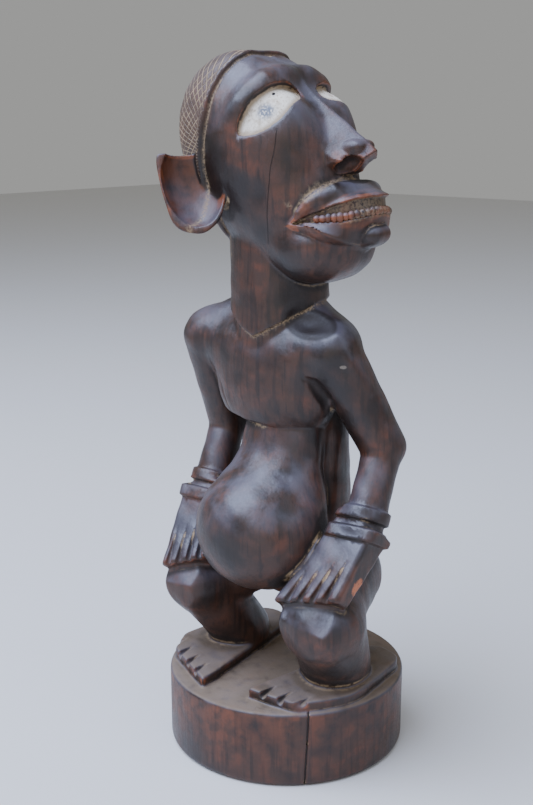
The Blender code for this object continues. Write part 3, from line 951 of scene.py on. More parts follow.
@dataclass(frozen=True)
class Weathering:
    """Masks of wear, dirt, finish and painted shade in hollows, worked out from the carved form and kept on
    its mesh.
    """

    carving: "Carving"
    chips: dict[str, tuple[Vec3, Vec3]] = field(default_factory=lambda: {
        "raw_chip": ((64.2, -24.0, 71.1), (5.0, 5.5, 7.5)),
        "pale_chip": ((47.2, -14.2, 182.3), (2.4, 3.4, 1.2)),
    })

    def write(self, mesh: bpy.types.Mesh) -> None:
        """Stores every mask on the mesh as an attribute.

        Args:
            mesh: The mesh that gets the masks.
        """
        normals = np.empty(len(mesh.vertices) * 3)
        mesh.vertex_normals.foreach_get("vector", normals)
        for name, values in self.masks(points_of(mesh), normals.reshape(-1, 3)).items():
            attribute = mesh.attributes.new(name, "FLOAT", "POINT")
            attribute.data.foreach_set("value", np.ascontiguousarray(values, dtype=np.float32))

    def masks(self, points: Array, normals: Array) -> dict[str, Array]:
        """Works out the masks.

        Args:
            points: Vertices, in millimetres from the centre of the plinth's top.
            normals: Their normals.

        Returns:
            Values of each mask by name.
        """
        crevice, edge_wear = self.relief(points, normals, 1.4, 1.6)
        hollow, shoulder_wear = self.relief(points, normals, 6.0, 5.0)
        head = self.carving.head
        local = head.own_frame(points)
        inside, own = head.eye(local)
        front = points[:, 2] > 225.0
        behind = np.where(front, head.hairline(local), -FAR)
        hairy = np.minimum(behind, 1.2 * (local[:, 2] + 47.0 + 0.25 * local[:, 1]))
        hairy = np.where(head.ear(local) > 1.0, hairy, -FAR)
        hem = np.where(points[:, 2] > 180.0, self.carving.neck.hem(points), FAR)
        hem = np.where(np.hypot(points[:, 0] + 4.0, points[:, 1] + 2.0) < 33.0, hem, FAR)
        lips = np.where(front & (local[:, 1] < -24.0), self.lip_border(local), FAR)
        # The hollow mask, widened over the shoulder gouges and the ear bowls, darkens the wood as painted
        # shade and also makes it matt.
        gouged = [step_up(-ball(points, centre, tuple(r + 3.0 for r in radii)), 5.0)
                  for centre, radii in self.carving.tooling.gouges]
        hollow = np.max([hollow, *gouged], axis=0) + 0.22 * (front & (np.abs(head.ear(local)) < 0.8))
        edge, teeth, _ = head.lip_lines(local)
        mouth = (local[:, 2] < edge + 0.4) & (local[:, 2] > teeth - 1.2)
        mouth &= (head.lip_turn(local) < head.lip_reach - 1.6) & front & (local[:, 1] < -26.0)
        rim = np.where(local[:, 2] > -45.0, behind, FAR)
        borders = [0.8 * bump(rim + 1.1, 1.5), bump(hem - 0.4, 1.3), 0.7 * bump(lips, 1.6), 0.4 * mouth]
        found = {
            "crevice": crevice, "hollow": hollow, "edge": edge_wear, "shoulder": shoulder_wear,
            "eye": np.where(front & (own[:, 2] > -15.0), inside, -FAR),
            "eye_along": own[:, 1], "eye_across": own[:, 0],
            "residue": np.max(borders, axis=0),
            "hair": hairy, "hair_round": 45.0 * np.arctan2(local[:, 2], local[:, 1]),
            "hair_row": local[:, 2] + 0.47 * local[:, 1], "hair_side": local[:, 0],
            "check": np.where(points[:, 2] < 0.5, self.carving.plinth.check(points), FAR),
            "crack": self.face_crack(points),
        }
        for name, (place, size) in self.chips.items():
            found[name] = np.linalg.norm((points - place) / size, axis=1)
        return found

    def relief(self, points: Array, normals: Array, outward: float, inward: float) -> tuple[Array, Array]:
        """Measures how far each point lies in a hollow and how far it stands on an edge.

        Args:
            points: Vertices, in millimetres from the centre of the plinth's top.
            normals: Their normals.
            outward: How far outside the surface a hollow is felt for.
            inward: How far inside the surface an edge is felt for.

        Returns:
            Share of a hollow and share of an edge. What both show alike comes from the distance's own slope,
            so it is taken out of each.
        """
        shelter = 1.0 - spread_out(self.carving.distance, points + normals * outward) / outward
        corner = 1.0 + spread_out(self.carving.distance, points - normals * inward) / inward
        slack = np.maximum(np.minimum(shelter, corner), 0.0)
        return shelter - slack, corner - slack

    def lip_border(self, local: Array) -> Array:
        """How far points are above the border that the upper lip is cut back to."""
        side = local[:, 0]
        return local[:, 2] + 26.0 + 0.008 * np.maximum(side - 8.0, 0.0) ** 2.25

    def face_crack(self, points: Array) -> Array:
        """How far points are to one side of the fine crack down the right cheek, or FAR away from it.

        Args:
            points: Points to measure from.

        Returns:
            Millimetres at each point.
        """
        height = points[:, 2] - 245.0
        beside = points[:, 0] - 12.1 - 0.145 * height - 0.9 * bump(height - 45.0, 14.0)
        return np.where((points[:, 1] < -15.0) & (height > -3.0) & (height < 54.0), beside, FAR)


@dataclass(frozen=True)
class Ramp:
    """Eased rise of a measure, from 0 at its low end to its top at its high end."""

    source: str
    low: float
    high: float
    top: float = 1.0


@dataclass(frozen=True)
class Mixture:
    """Two measures or numbers brought together by one operation."""

    first: str
    operation: str
    second: str | float = 0.0


# Millimetres between the cuts round the hair and between its rows, and from its middle to the parting.
HAIR_PITCH = 3.6
HAIR_ROW_PITCH = 4.2
HAIR_PARTING = 13.0

# Steps of the finish, in the order that they are worked out. Each name in a step is a pattern, a mask or an
# earlier step.
WOOD_STEPS: dict[str, Ramp | Mixture] = {
    "stained": Ramp("patches", 0.34, 0.55),
    "red_flecks": Ramp("mottling", 0.42, 0.66),
    "red_areas": Ramp("patches", 0.42, 0.66, 0.68),
    "reddened": Mixture("red_flecks", "MULTIPLY", "red_areas"),
    "dark_streaks": Ramp("streaks", 0.5, 0.66, 0.6),
    "light_bands": Ramp("bands", 0.6, 0.76, 0.22),
    "dark_bands": Ramp("bands", 0.46, 0.34, 0.6),
    "rubbed_edges": Ramp("edge", 0.12, 0.42),
    "rubbed_shoulders": Ramp("shoulder", 0.22, 0.6, 0.45),
    "rubbed": Mixture("rubbed_edges", "MAXIMUM", "rubbed_shoulders"),
    "rubbed_flecks": Ramp("mottling", 0.30, 0.62, 0.8),
    "worn_through": Mixture("rubbed", "MULTIPLY", "rubbed_flecks"),
    # Painted sheen: faces that look up are tinted blue-grey in cloudy patches, as a reflection of the light
    # above.
    "facing_up": Ramp("upward", 0.0, 0.75, 0.65),
    "painted_sheen_patches": Ramp("clouds", 0.3, 0.6),
    "painted_sheen_share": Mixture("facing_up", "MULTIPLY", "painted_sheen_patches"),
    # Painted shade: hollows are darkened towards the dark colour, and the same share makes them matt.
    "hollow_shade_and_matt": Ramp("hollow", 0.10, 0.55, 0.85),
}
HAIR_STEPS: dict[str, Ramp | Mixture] = {
    "haired": Ramp("hair", 1.0, 2.6),
    "hair_tint": Mixture("haired", "MULTIPLY", 0.55),
    "stroke_saw": Mixture("hair_round", "PINGPONG", HAIR_PITCH / 2),
    "strokes": Ramp("stroke_saw", 0.6, 0.21),
    "row_saw": Mixture("hair_row", "PINGPONG", HAIR_ROW_PITCH / 2),
    "row_lines": Ramp("row_saw", 0.5, 0.175),
    "low_on_side": Ramp("hair_side", 22.0, 30.0),
    "rows": Mixture("row_lines", "MULTIPLY", "low_on_side"),
    "beside_parting": Mixture("hair_side", "SUBTRACT", HAIR_PARTING),
    "from_parting": Mixture("beside_parting", "PINGPONG", 100.0),
    "parting": Ramp("from_parting", 0.7, 0.245),
    "strokes_and_rows": Mixture("strokes", "MAXIMUM", "rows"),
    "all_lines": Mixture("strokes_and_rows", "MAXIMUM", "parting"),
    "cuts": Mixture("all_lines", "MULTIPLY", "haired"),
}
DIRT_STEPS: dict[str, Ramp | Mixture] = {
    "packed": Ramp("crevice", 0.12, 0.42),
    "crumbled": Ramp("crumbs", 0.34, 0.56),
    "crevice_clay": Mixture("packed", "MULTIPLY", "crumbled"),
    "border_flecks": Ramp("fine", 0.32, 0.62),
    "border_clay": Mixture("residue", "MULTIPLY", "border_flecks"),
    "face_clay": Mixture("crevice_clay", "MAXIMUM", "border_clay"),
    "hair_flecks": Ramp("mottling", 0.28, 0.58, 0.85),
    "hair_clay": Mixture("cuts", "MULTIPLY", "hair_flecks"),
    "thick_clay": Mixture("face_clay", "MAXIMUM", "hair_clay"),
    "clay": Mixture("thick_clay", "MULTIPLY", 0.75),
    "level": Ramp("upward", 0.55, 0.95),
    "low_down": Ramp("height", 0.056, 0.046),
    "plinth_top": Mixture("level", "MULTIPLY", "low_down"),
    "dust_flecks": Ramp("mottling", 0.0, 0.55, 0.8),
    "dusty": Mixture("plinth_top", "MULTIPLY", "dust_flecks"),
}
DAMAGE_STEPS: dict[str, Ramp | Mixture] = {
    "ragged": Mixture("mottling", "MULTIPLY", 1.4),
    "chip_flecks": Ramp("fine", 0.25, 0.5),
    "raw_outline": Mixture("raw_chip", "ADD", "ragged"),
    "raw_area": Ramp("raw_outline", 1.7, 1.45),
    "raw_wood": Mixture("raw_area", "MULTIPLY", "chip_flecks"),
    "pale_outline": Mixture("pale_chip", "ADD", "ragged"),
    "pale_area": Ramp("pale_outline", 1.7, 1.45),
    "pale_wood": Mixture("pale_area", "MULTIPLY", "chip_flecks"),
    "wander": Mixture("patches", "MULTIPLY", 1.6),
    "beside_crack": Mixture("crack", "ADD", "wander"),
    "from_crack": Mixture("beside_crack", "ABSOLUTE"),
    "fine_crack": Ramp("from_crack", 0.26, 0.06, 0.8),
    "from_check": Mixture("check", "ABSOLUTE"),
    "open_check": Ramp("from_check", 0.45, 0.15),
    "split": Mixture("fine_crack", "MAXIMUM", "open_check"),
}
KAOLIN_STEPS: dict[str, Ramp | Mixture] = {
    "grainy": Mixture("fine", "SUBTRACT", 0.5),
    "grainy_edge": Mixture("eye", "ADD", "grainy"),
    "eye_waves": Mixture("mottling", "MULTIPLY", 1.2),
    "painted": Mixture("grainy_edge", "SUBTRACT", "eye_waves"),
    "white": Ramp("painted", -0.5, 0.1),
    "thickness": Mixture("painted", "ADD", "mottling"),
    "clean": Ramp("thickness", 0.4, 3.4),
    "blotchy": Ramp("blotches", 0.5, 0.72, 0.6),
    "speckled": Ramp("fine", 0.5, 0.72, 0.75),
    "smudge_reach": Mixture("from_smudge", "DIVIDE", 5.5),
    "smudge_outline": Mixture("smudge_reach", "ADD", "mottling"),
    "smudge_area": Ramp("smudge_outline", 1.7, 0.9, 0.95),
    "smudge_flecks": Ramp("fine", 0.3, 0.5),
    "smudged": Mixture("smudge_area", "MULTIPLY", "smudge_flecks"),
    "pricked": Ramp("from_hole", 1.1, 0.66),
}
GLOSS_STEPS: dict[str, Ramp | Mixture] = {
    "dull_areas": Ramp("patches", 0.3, 0.7, 0.14),
    "dull_flecks": Ramp("fine", 0.35, 0.65, 0.08),
    "dullness": Mixture("dull_areas", "ADD", "dull_flecks"),
    "dirt": Mixture("clay", "MAXIMUM", "dusty"),
    "unpolished": Mixture("hollow_shade_and_matt", "MULTIPLY", 0.7),
    "coated": Mixture("white", "MAXIMUM", "unpolished"),
    "matt": Mixture("dirt", "MAXIMUM", "coated"),
    "matt_part": Mixture("matt", "MULTIPLY", 0.4),
    "rougher": Mixture("dullness", "ADD", "matt_part"),
}


@dataclass(frozen=True)
class WaxedHardwood:
    """Dense hardwood, stained nearly black and waxed, with kaolin in the eyes and old clay in the cuts."""

    name: str = "waxed_dark_hardwood"
    body: str = "#3c271d"
    dark: str = "#1b1310"
    red: str = "#5e3422"
    worn: str = "#84492b"
    # Colour of the painted blue-grey sheen on upward faces, a reflection of the light above.
    painted_sheen: str = "#5b5963"
    raw: str = "#b2663f"
    pale: str = "#6f665b"
    hair: str = "#5a473a"
    residue: str = "#a8906f"
    dust: str = "#7b6a58"
    kaolin: str = "#d8d0c0"
    stained_kaolin: str = "#9c8a72"
    smudge: str = "#5c6472"
    waxed_roughness: float = 0.31

    # Each pattern's grain in millimetres, its detail, and how far it is drawn out along the upright grain.
    patterns: tuple[tuple[str, float, float, float], ...] = (
        ("patches", 26.0, 5.0, 1.0), ("mottling", 7.0, 6.0, 1.0), ("fine", 1.1, 3.0, 1.0),
        ("streaks", 2.4, 3.0, 0.07), ("bands", 9.0, 4.0, 0.16), ("clouds", 16.0, 4.0, 1.0),
        ("crumbs", 3.2, 4.0, 1.0), ("blotches", 3.6, 4.0, 1.0),
    )
    masks: tuple[str, ...] = (
        "edge", "shoulder", "hollow", "crevice", "residue", "hair", "hair_round", "hair_row", "hair_side",
        "raw_chip", "pale_chip", "crack", "check", "eye", "eye_along", "eye_across",
    )
    eye_spots: tuple[tuple[str, Vec3], ...] = (
        ("from_smudge", (2.0, 2.4, 0.0)), ("from_hole", (-7.2, -2.4, 0.0)),
    )

    # Coats from the lowest up: the colour, and the step that says where it lies.
    # The blue-grey coat on upward faces is a painted sheen, and the dark coat over hollows is painted shade.
    wood_coats: tuple[tuple[str, str], ...] = (
        ("body", "stained"), ("red", "reddened"), ("dark", "dark_streaks"), ("red", "light_bands"),
        ("dark", "dark_bands"), ("worn", "worn_through"), ("painted_sheen", "painted_sheen_share"), ("dark", "hollow_shade_and_matt"),
        ("hair", "hair_tint"), ("residue", "clay"), ("dust", "dusty"), ("raw", "raw_wood"),
        ("pale", "pale_wood"),
    )
    kaolin_coats: tuple[tuple[str, str], ...] = (
        ("kaolin", "clean"), ("stained_kaolin", "blotchy"), ("stained_kaolin", "speckled"),
        ("smudge", "smudged"), ("dark", "pricked"),
    )

    # How far each pattern or step raises the surface, in millimetres.
    relief: tuple[tuple[str, float], ...] = (
        ("mottling", 0.16), ("streaks", 0.14), ("fine", 0.04), ("patches", 0.8), ("cuts", -0.45),
        ("split", -0.7), ("pricked", -0.6),
    )

    def material(self) -> bpy.types.Material:
        """Builds the finish.

        Wax over a near-black stain gives the eye a soft sheen that breaks up in patches, and a blue-grey
        sheen is painted on upward faces as a reflection of the light above. Handling has rubbed edges back to
        red-brown wood, dry kaolin, clay and dust lie matt beside it, and hollows are darkened with painted
        shade.

        Returns:
            The material.
        """
        made = bpy.data.materials.new(self.name)
        made.use_nodes = True
        tree = made.node_tree
        shader = tree.nodes["Principled BSDF"]
        given = self.measures(tree)
        for steps in (WOOD_STEPS, HAIR_STEPS, DIRT_STEPS, DAMAGE_STEPS, KAOLIN_STEPS, GLOSS_STEPS):
            self.work_out(tree, given, steps)
        wood = self.coated(tree, given, self.dark, self.wood_coats)
        kaolin = self.coated(tree, given, self.stained_kaolin, self.kaolin_coats)
        both = add_node(tree, "ShaderNodeMix", {0: given["white"], 6: wood, 7: kaolin}, data_type="RGBA")
        split = {0: given["split"], 6: both.outputs[2], 7: linear(self.dark)}
        colour = add_node(tree, "ShaderNodeMix", split, data_type="RGBA")
        waxed = {0: given["rougher"], 1: self.waxed_roughness}
        rough = add_node(tree, "ShaderNodeMath", waxed, operation="ADD")
        height = 0.0
        for name, rise in self.relief:
            inputs = {0: given[name], 1: rise, 2: height}
            height = add_node(tree, "ShaderNodeMath", inputs, operation="MULTIPLY_ADD").outputs[0]
        raised = {"Height": height, "Distance": MILLIMETRE, "Strength": 1.0}
        bump_node = add_node(tree, "ShaderNodeBump", raised)
        tree.links.new(colour.outputs[2], shader.inputs["Base Color"])
        tree.links.new(rough.outputs[0], shader.inputs["Roughness"])
        tree.links.new(bump_node.outputs[0], shader.inputs["Normal"])
        return made

    def measures(self, tree: bpy.types.NodeTree) -> dict[str, bpy.types.NodeSocket]:
        """Adds what the steps start from.

        Args:
            tree: The material's tree.

        Returns:
            Sockets of the patterns, the masks, the height, the upward slope and the distances on the eye.
        """
        place = add_node(tree, "ShaderNodeTexCoord").outputs["Object"]
        normal = add_node(tree, "ShaderNodeNewGeometry").outputs["Normal"]
        given = {
            "height": add_node(tree, "ShaderNodeSeparateXYZ", {0: place}).outputs[2],
            "upward": add_node(tree, "ShaderNodeSeparateXYZ", {0: normal}).outputs[2],
        }
        for name, size, detail, upright in self.patterns:
            scaled = add_node(tree, "ShaderNodeMapping", {"Vector": place, "Scale": (1.0, 1.0, upright)})
            inputs = {"Vector": scaled.outputs[0], "Scale": 1.0 / (size * MILLIMETRE), "Detail": detail}
            given[name] = add_node(tree, "ShaderNodeTexNoise", inputs).outputs["Fac"]
        for name in self.masks:
            given[name] = add_node(tree, "ShaderNodeAttribute", attribute_name=name).outputs["Fac"]
        on_eye = add_node(tree, "ShaderNodeCombineXYZ", {0: given["eye_along"], 1: given["eye_across"]})
        for name, spot in self.eye_spots:
            ends = {0: on_eye.outputs[0], 1: spot}
            away = add_node(tree, "ShaderNodeVectorMath", ends, operation="DISTANCE")
            given[name] = away.outputs["Value"]
        return given

    def work_out(self, tree: bpy.types.NodeTree, given: dict, steps: dict[str, Ramp | Mixture]) -> None:
        """Adds a node for every step and keeps its socket under the step's name.

        Args:
            tree: The material's tree.
            given: Sockets by name, to which the steps' own are added.
            steps: The steps, in order.
        """
        for name, step in steps.items():
            if isinstance(step, Ramp):
                inputs = {"Value": given[step.source], "From Min": step.low, "From Max": step.high}
                inputs["To Max"] = step.top
                kind, settings = "ShaderNodeMapRange", {"interpolation_type": "SMOOTHSTEP"}
            else:
                inputs = {0: given[step.first], 1: given.get(step.second, step.second)}
                kind, settings = "ShaderNodeMath", {"operation": step.operation}
            given[name] = add_node(tree, kind, inputs, **settings).outputs[0]

    def coated(
        self, tree: bpy.types.NodeTree, given: dict, ground: str, coats: tuple[tuple[str, str], ...]
    ) -> bpy.types.NodeSocket:
        """Lays coats of colour over each other.

        Args:
            tree: The material's tree.
            given: Sockets by name.
            ground: Colour of the lowest layer.
            coats: Name of each coat's colour and of the step that says where it lies.

        Returns:
            Socket of the finished colour.
        """
        below = linear(ground)
        for finish, share in coats:
            inputs = {0: given[share], 6: below, 7: linear(getattr(self, finish))}
            below = add_node(tree, "ShaderNodeMix", inputs, data_type="RGBA").outputs[2]
        return below


def add_node(
    tree: bpy.types.NodeTree, kind: str, inputs: dict | None = None, **settings: object
) -> bpy.types.Node:
    """Adds a node.

    Args:
        tree: The tree that it goes into.
        kind: The node's type.
        inputs: Values or sources of its inputs, by name or number.
        settings: The node's own settings.

    Returns:
        The node.
    """
    made = tree.nodes.new(kind)
    for name, value in settings.items():
        setattr(made, name, value)
    for socket, value in (inputs or {}).items():
        if isinstance(value, bpy.types.NodeSocket):
            tree.links.new(value, made.inputs[socket])
        else:
            made.inputs[socket].default_value = value
    return made


def linear(colour: str) -> tuple[float, float, float, float]:
    """Linear colour of an sRGB hex value.

    Args:
        colour: Six hex digits after a hash sign.

    Returns:
        Linear red, green, blue and an alpha of 1.
    """
    values = [int(colour[i : i + 2], 16) / 255.0 for i in (1, 3, 5)]
    values = [v / 12.92 if v <= 0.04045 else ((v + 0.055) / 1.055) ** 2.4 for v in values]
    return (values[0], values[1], values[2], 1.0)


@dataclass
class Carving:
    """The whole figure, carved with its plinth from one block."""

    pitch: float = 0.80
    passes: int = 2
    low: Vec3 = (-76.0, -76.0, -47.0)
    high: Vec3 = (80.0, 76.0, 344.0)
    triangles: int = 190000
    torso: Torso = field(default_factory=Torso)
    neck: Neck = field(default_factory=Neck)
    head: Head = field(default_factory=Head)
    plinth: Plinth = field(default_factory=Plinth)
    tooling: Tooling = field(default_factory=Tooling)
    teeth: TeethRow = field(default_factory=TeethRow)

    def distance(self, points: Array) -> Array:
        """Distance outside the whole figure, in millimetres from the centre of the plinth's top.

        Args:
            points: Points to measure from.

        Returns:
            One distance for each point, in millimetres.
        """
        form = only_near(points, self.torso.low, self.torso.high, self.torso.distance)
        form = blend(form, only_near(points, self.neck.low, self.neck.high, self.neck.distance), 0.8)
        form = blend(form, only_near(points, self.head.low, self.head.high, self.head.distance), 1.5)
        for side in Side:
            form = self.with_limbs(form, points, side)
        form = self.tooling.worked(form, points)
        return blend(form, only_near(points, (-80, -80, -60), (80, 80, 25), self.plinth.distance), 1.5)

    def with_limbs(self, form: Array, points: Array, side: Side) -> Array:
        """Adds one side's arm, leg and foot.

        Args:
            form: Distance to the rest of the figure.
            points: Points to measure from.
            side: Which side's limbs to add.

        Returns:
            Distance to the figure with those limbs.
        """
        near = points * np.array([float(side.value), 1.0, 1.0])
        arm, leg, foot = Arm(POSE[side]), Leg(POSE[side]), Foot(POSE[side])

        def footprint(local: Array) -> Array:
            """Distance outside the foot, kept within the plinth's outline."""
            mirrored = local * np.array([float(side.value), 1.0, 1.0])
            return keep(foot.distance(local), self.plinth.side(mirrored) + 2.5, 2.0)

        form = blend(form, only_near(near, arm.low, arm.high, arm.distance), 2.0)
        form = blend(form, only_near(near, leg.low, leg.high, leg.distance), 3.0)
        return blend(form, only_near(near, foot.low, foot.high, footprint), 2.5)

    def build(self, wood: bpy.types.Material) -> bpy.types.Object:
        """Carves the detailed figure.

        Args:
            wood: The finish.

        Returns:
            The carved object.
        """
        places, faces = surface_net(self.sampled(), np.array(self.low), self.pitch)
        mesh = bpy.data.meshes.new("block")
        mesh.from_pydata(places.tolist(), [], faces.tolist())
        self.carve(mesh, self.passes, True)
        mesh = with_modifier(mesh, "TRIANGULATE")
        if len(mesh.polygons) > self.triangles:
            mesh = with_modifier(mesh, "DECIMATE", ratio=self.triangles / len(mesh.polygons))
        self.carve(mesh, 1, False)
        level_underside(mesh)
        mesh.materials.append(wood)
        mesh = joined(mesh, self.teeth.build(self.head, wood))
        mesh.shade_smooth()
        Weathering(self).write(mesh)
        mesh.name = "carved_figure"
        carved = bpy.data.objects.new("carved_figure", mesh)
        bpy.context.scene.collection.objects.link(carved)
        LOG.info("carved figure: %d triangles", len(mesh.polygons))
        return carved

    def sampled(self) -> Array:
        """Distances over a grid, worked out finely near the surface only.

        Returns:
            Distance at the centre of every cell, in an array along X, Y and Z.
        """
        low = np.array(self.low)
        coarse = 4 * self.pitch
        shape = np.ceil((np.array(self.high) - low) / coarse).astype(int)
        index = np.indices(shape).reshape(3, -1).T
        grid = spread_out(self.distance, low + (index + 0.5) * coarse).reshape(shape)
        for halving in (1, 2):
            step = coarse / 2**halving
            grid = grid.repeat(2, 0).repeat(2, 1).repeat(2, 2)
            index = np.argwhere(np.abs(grid) < step * 3.0)
            grid[tuple(index.T)] = spread_out(self.distance, low + (index + 0.5) * step)
        return grid

    def carve(self, mesh: bpy.types.Mesh, passes: int, relax: bool) -> None:
        """Moves every point of the mesh onto the finished surface.

        Args:
            mesh: The mesh to move.
            passes: How many times to move it.
            relax: Whether the points are evened out between passes.
        """
        points, ends = points_of(mesh), edges_of(mesh)
        corners = np.array([[1, -1, -1], [-1, -1, 1], [-1, 1, -1], [1, 1, 1]], float)
        step = 0.05
        for number in range(passes):
            if relax and number > 0:
                points = relaxed(points, ends)
            around = [spread_out(self.distance, points + corner * step) for corner in corners]
            outside = sum(around) / 4.0
            slope = sum(d[:, None] * c for d, c in zip(around, corners)) / (4.0 * step)
            steepness = np.maximum((slope * slope).sum(1), 0.25)
            points = points - np.clip(outside / steepness, -2.5, 2.5)[:, None] * slope
        place_points(mesh, points)


def spread_out(distance: Callable[[Array], Array], points: Array) -> Array:
    """Distances worked out in small batches, several at a time.

    Args:
        distance: The distance function.
        points: Points to measure from.

    Returns:
        Distance at each point.
    """
    batches = [points[start : start + BATCH] for start in range(0, len(points), BATCH)]
    with ThreadPoolExecutor(4) as workers:
        return np.concatenate(list(workers.map(distance, batches)))


def surface_net(grid: Array, low: Array, pitch: float) -> tuple[Array, Array]:
    """Closed net of four-sided faces between the cells inside a form and those outside it.

    Args:
        grid: Distance at the centre of every cell.
        low: Lowest corner of the grid, in millimetres.
        pitch: Size of a cell.

    Returns:
        Places of the net's points in metres, with the plinth's underside at 0, and its faces.
    """
    strides = np.array([grid.shape[1] * grid.shape[2], grid.shape[2], 1])
    faces, places = [], []
    for axis in range(3):
        ahead, aside, above = (np.eye(3, dtype=int)[(axis + turn) % 3] for turn in range(3))
        lower = grid[tuple(slice(0, -1) if ahead[i] else slice(None) for i in range(3))]
        upper = grid[tuple(slice(1, None) if ahead[i] else slice(None) for i in range(3))]
        index = np.argwhere((lower < 0.0) != (upper < 0.0))
        first, second = lower[tuple(index.T)], upper[tuple(index.T)]
        crossing = index + (first / (first - second))[:, None] * ahead
        corners = [(index - aside * a - above * b) @ strides for a, b in ((1, 1), (0, 1), (0, 0), (1, 0))]
        quads = np.stack(corners, 1)
        quads[first > 0.0] = quads[first > 0.0, ::-1]
        faces.append(quads)
        places.append(np.repeat(crossing, 4, axis=0))
    quads, crossings = np.concatenate(faces), np.concatenate(places)
    which = np.unique(quads.ravel(), return_inverse=True)[1]
    shared = np.bincount(which)
    middles = np.stack([np.bincount(which, crossings[:, i]) / shared for i in range(3)], 1)
    middles = low + (middles + 0.5) * pitch + np.array([0.0, 0.0, PLINTH_HEIGHT])
    return middles * MILLIMETRE, which.reshape(-1, 4)


def joined(first: bpy.types.Mesh, second: bpy.types.Mesh) -> bpy.types.Mesh:
    """Both meshes as one, with the first one's materials.

    Args:
        first: The mesh that takes in the other.
        second: The mesh that is taken in, and removed.

    Returns:
        The first mesh, which now holds both.
    """
    work = bmesh.new()
    work.from_mesh(first)
    work.from_mesh(second)
    work.to_mesh(first)
    work.free()
    bpy.data.meshes.remove(second)
    return first


def points_of(mesh: bpy.types.Mesh) -> Array:
    """Vertices of a mesh, in millimetres from the centre of the plinth's top.

    Args:
        mesh: The mesh to read.

    Returns:
        One place a row.
    """
    flat = np.empty(len(mesh.vertices) * 3)
    mesh.vertices.foreach_get("co", flat)
    return flat.reshape(-1, 3) / MILLIMETRE - np.array([0.0, 0.0, PLINTH_HEIGHT])


def place_points(mesh: bpy.types.Mesh, points: Array) -> None:
    """Sets the vertices of a mesh from millimetres.

    Args:
        mesh: The mesh to change.
        points: Their new places, in millimetres from the plinth's top.
    """
    raised = points + np.array([0.0, 0.0, PLINTH_HEIGHT])
    mesh.vertices.foreach_set("co", (raised * MILLIMETRE).ravel())
    mesh.update()


def edges_of(mesh: bpy.types.Mesh) -> Array:
    """Vertex numbers at both ends of every edge.

    Args:
        mesh: The mesh to read.

    Returns:
        Two vertex numbers a row.
    """
    ends = np.empty(len(mesh.edges) * 2, dtype=np.int32)
    mesh.edges.foreach_get("vertices", ends)
    return ends.reshape(-1, 2)


def averaged(values: Array, edges: Array) -> Array:
    """Mean of each vertex's neighbours.

    Args:
        values: One row for each vertex.
        edges: Vertex numbers at both ends of every edge.

    Returns:
        The means, one row for each vertex.
    """
    total, count = np.zeros_like(values), np.zeros(len(values))
    for here, there in (edges.T, edges.T[::-1]):
        for axis in range(values.shape[1]):
            total[:, axis] += np.bincount(here, values[there, axis], len(values))
        count += np.bincount(here, minlength=len(values))
    return total / np.maximum(count, 1.0)[:, None]


def relaxed(points: Array, edges: Array) -> Array:
    """Points drawn halfway towards the middle of their neighbours."""
    return (points + averaged(points, edges)) / 2


def with_modifier(mesh: bpy.types.Mesh, kind: str, **settings: float | str) -> bpy.types.Mesh:
    """Mesh after one modifier.

    Args:
        mesh: The mesh to change.
        kind: The modifier's type.
        settings: The modifier's settings.

    Returns:
        The changed mesh.
    """
    obj = bpy.data.objects.new("work", mesh)
    bpy.context.scene.collection.objects.link(obj)
    modifier = obj.modifiers.new(kind.title(), kind)
    for name, value in settings.items():
        setattr(modifier, name, value)
    graph = bpy.context.evaluated_depsgraph_get()
    made = bpy.data.meshes.new_from_object(obj.evaluated_get(graph))
    bpy.data.objects.remove(obj)
    bpy.data.meshes.remove(mesh)
    return made


def level_underside(mesh: bpy.types.Mesh) -> None:
    """Sets the plinth's underside on exactly one level.

    Args:
        mesh: The mesh to change.
    """
    points = points_of(mesh)
    points[points[:, 2] < 0.2 - PLINTH_HEIGHT, 2] = -PLINTH_HEIGHT
    place_points(mesh, points)


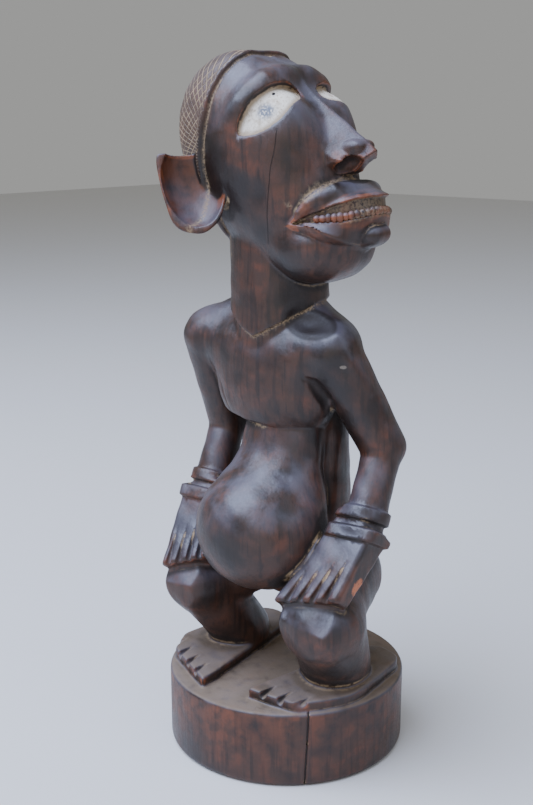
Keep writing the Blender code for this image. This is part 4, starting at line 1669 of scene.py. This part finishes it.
@dataclass(frozen=True)
class Studio:
    """Pale floor, soft lights and the camera at the photograph's viewing angle."""

    camera_place: Vec3 = (0.371, -0.460, 0.347)
    camera_pitch: float = math.radians(14.3)
    camera_azimuth: float = math.radians(40.0)
    lens: float = 50.0
    floor_half: float = 4.0
    floor_colour: str = "#d6d4d0"
    sky_colour: str = "#dcdcda"
    sky_strength: float = 0.5
    lamps: tuple[tuple[str, Vec3, float, float, str], ...] = (
        ("overhead", (-0.35, -0.70, 1.45), 1.5, 72.0, "#cddcff"),
        ("aside", (1.6, -0.2, 1.2), 1.6, 12.0, "#d6e2ff"),
        ("front", (0.9, -1.9, 0.7), 1.6, 7.0, "#ffeedd"),
    )

    def camera(self) -> None:
        """Sets up the camera."""
        data = bpy.data.cameras.new("camera")
        data.lens = self.lens
        data.sensor_width = 36.0
        data.sensor_fit = "AUTO"
        data.clip_start = 0.01
        camera = bpy.data.objects.new("camera", data)
        camera.location = self.camera_place
        camera.rotation_euler = (math.pi / 2 - self.camera_pitch, 0.0, self.camera_azimuth)
        bpy.context.scene.collection.objects.link(camera)
        bpy.context.scene.camera = camera

    def floor(self) -> None:
        """Lays the pale floor."""
        mesh = bpy.data.meshes.new("floor")
        half = self.floor_half
        corners = [(-half, -half, 0), (half, -half, 0), (half, half, 0), (-half, half, 0)]
        mesh.from_pydata(corners, [], [(0, 1, 2, 3)])
        # Matt painted board, which gives the eye nothing but the shadow and a soft edge of light.
        material = bpy.data.materials.new("matt_painted_board")
        material.use_nodes = True
        shader = material.node_tree.nodes["Principled BSDF"]
        shader.inputs["Base Color"].default_value = linear(self.floor_colour)
        shader.inputs["Roughness"].default_value = 0.8
        mesh.materials.append(material)
        floor = bpy.data.objects.new("floor", mesh)
        bpy.context.scene.collection.objects.link(floor)

    def lights(self) -> None:
        """Hangs the soft lights and sets the pale surroundings."""
        for name, place, size, power, colour in self.lamps:
            data = bpy.data.lights.new(name, "AREA")
            data.size, data.energy = size, power
            data.color = linear(colour)[:3]
            lamp = bpy.data.objects.new(name, data)
            lamp.location = place
            aim = Vector((0.0, 0.0, 0.2)) - Vector(place)
            lamp.rotation_euler = aim.to_track_quat("-Z", "Y").to_euler()
            bpy.context.scene.collection.objects.link(lamp)
        world = bpy.data.worlds.new("studio")
        world.use_nodes = True
        background = world.node_tree.nodes["Background"]
        background.inputs["Color"].default_value = linear(self.sky_colour)
        background.inputs["Strength"].default_value = self.sky_strength
        bpy.context.scene.world = world


def main() -> None:
    """Builds the figure and its studio."""
    logging.basicConfig(level=logging.INFO, format="%(message)s")
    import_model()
    carving = Carving()
    carved = carving.build(WaxedHardwood().material())
    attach(carved, "root")
    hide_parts("figure")
    studio = Studio()
    studio.camera()
    studio.floor()
    studio.lights()


if __name__ == "__main__":
    main()
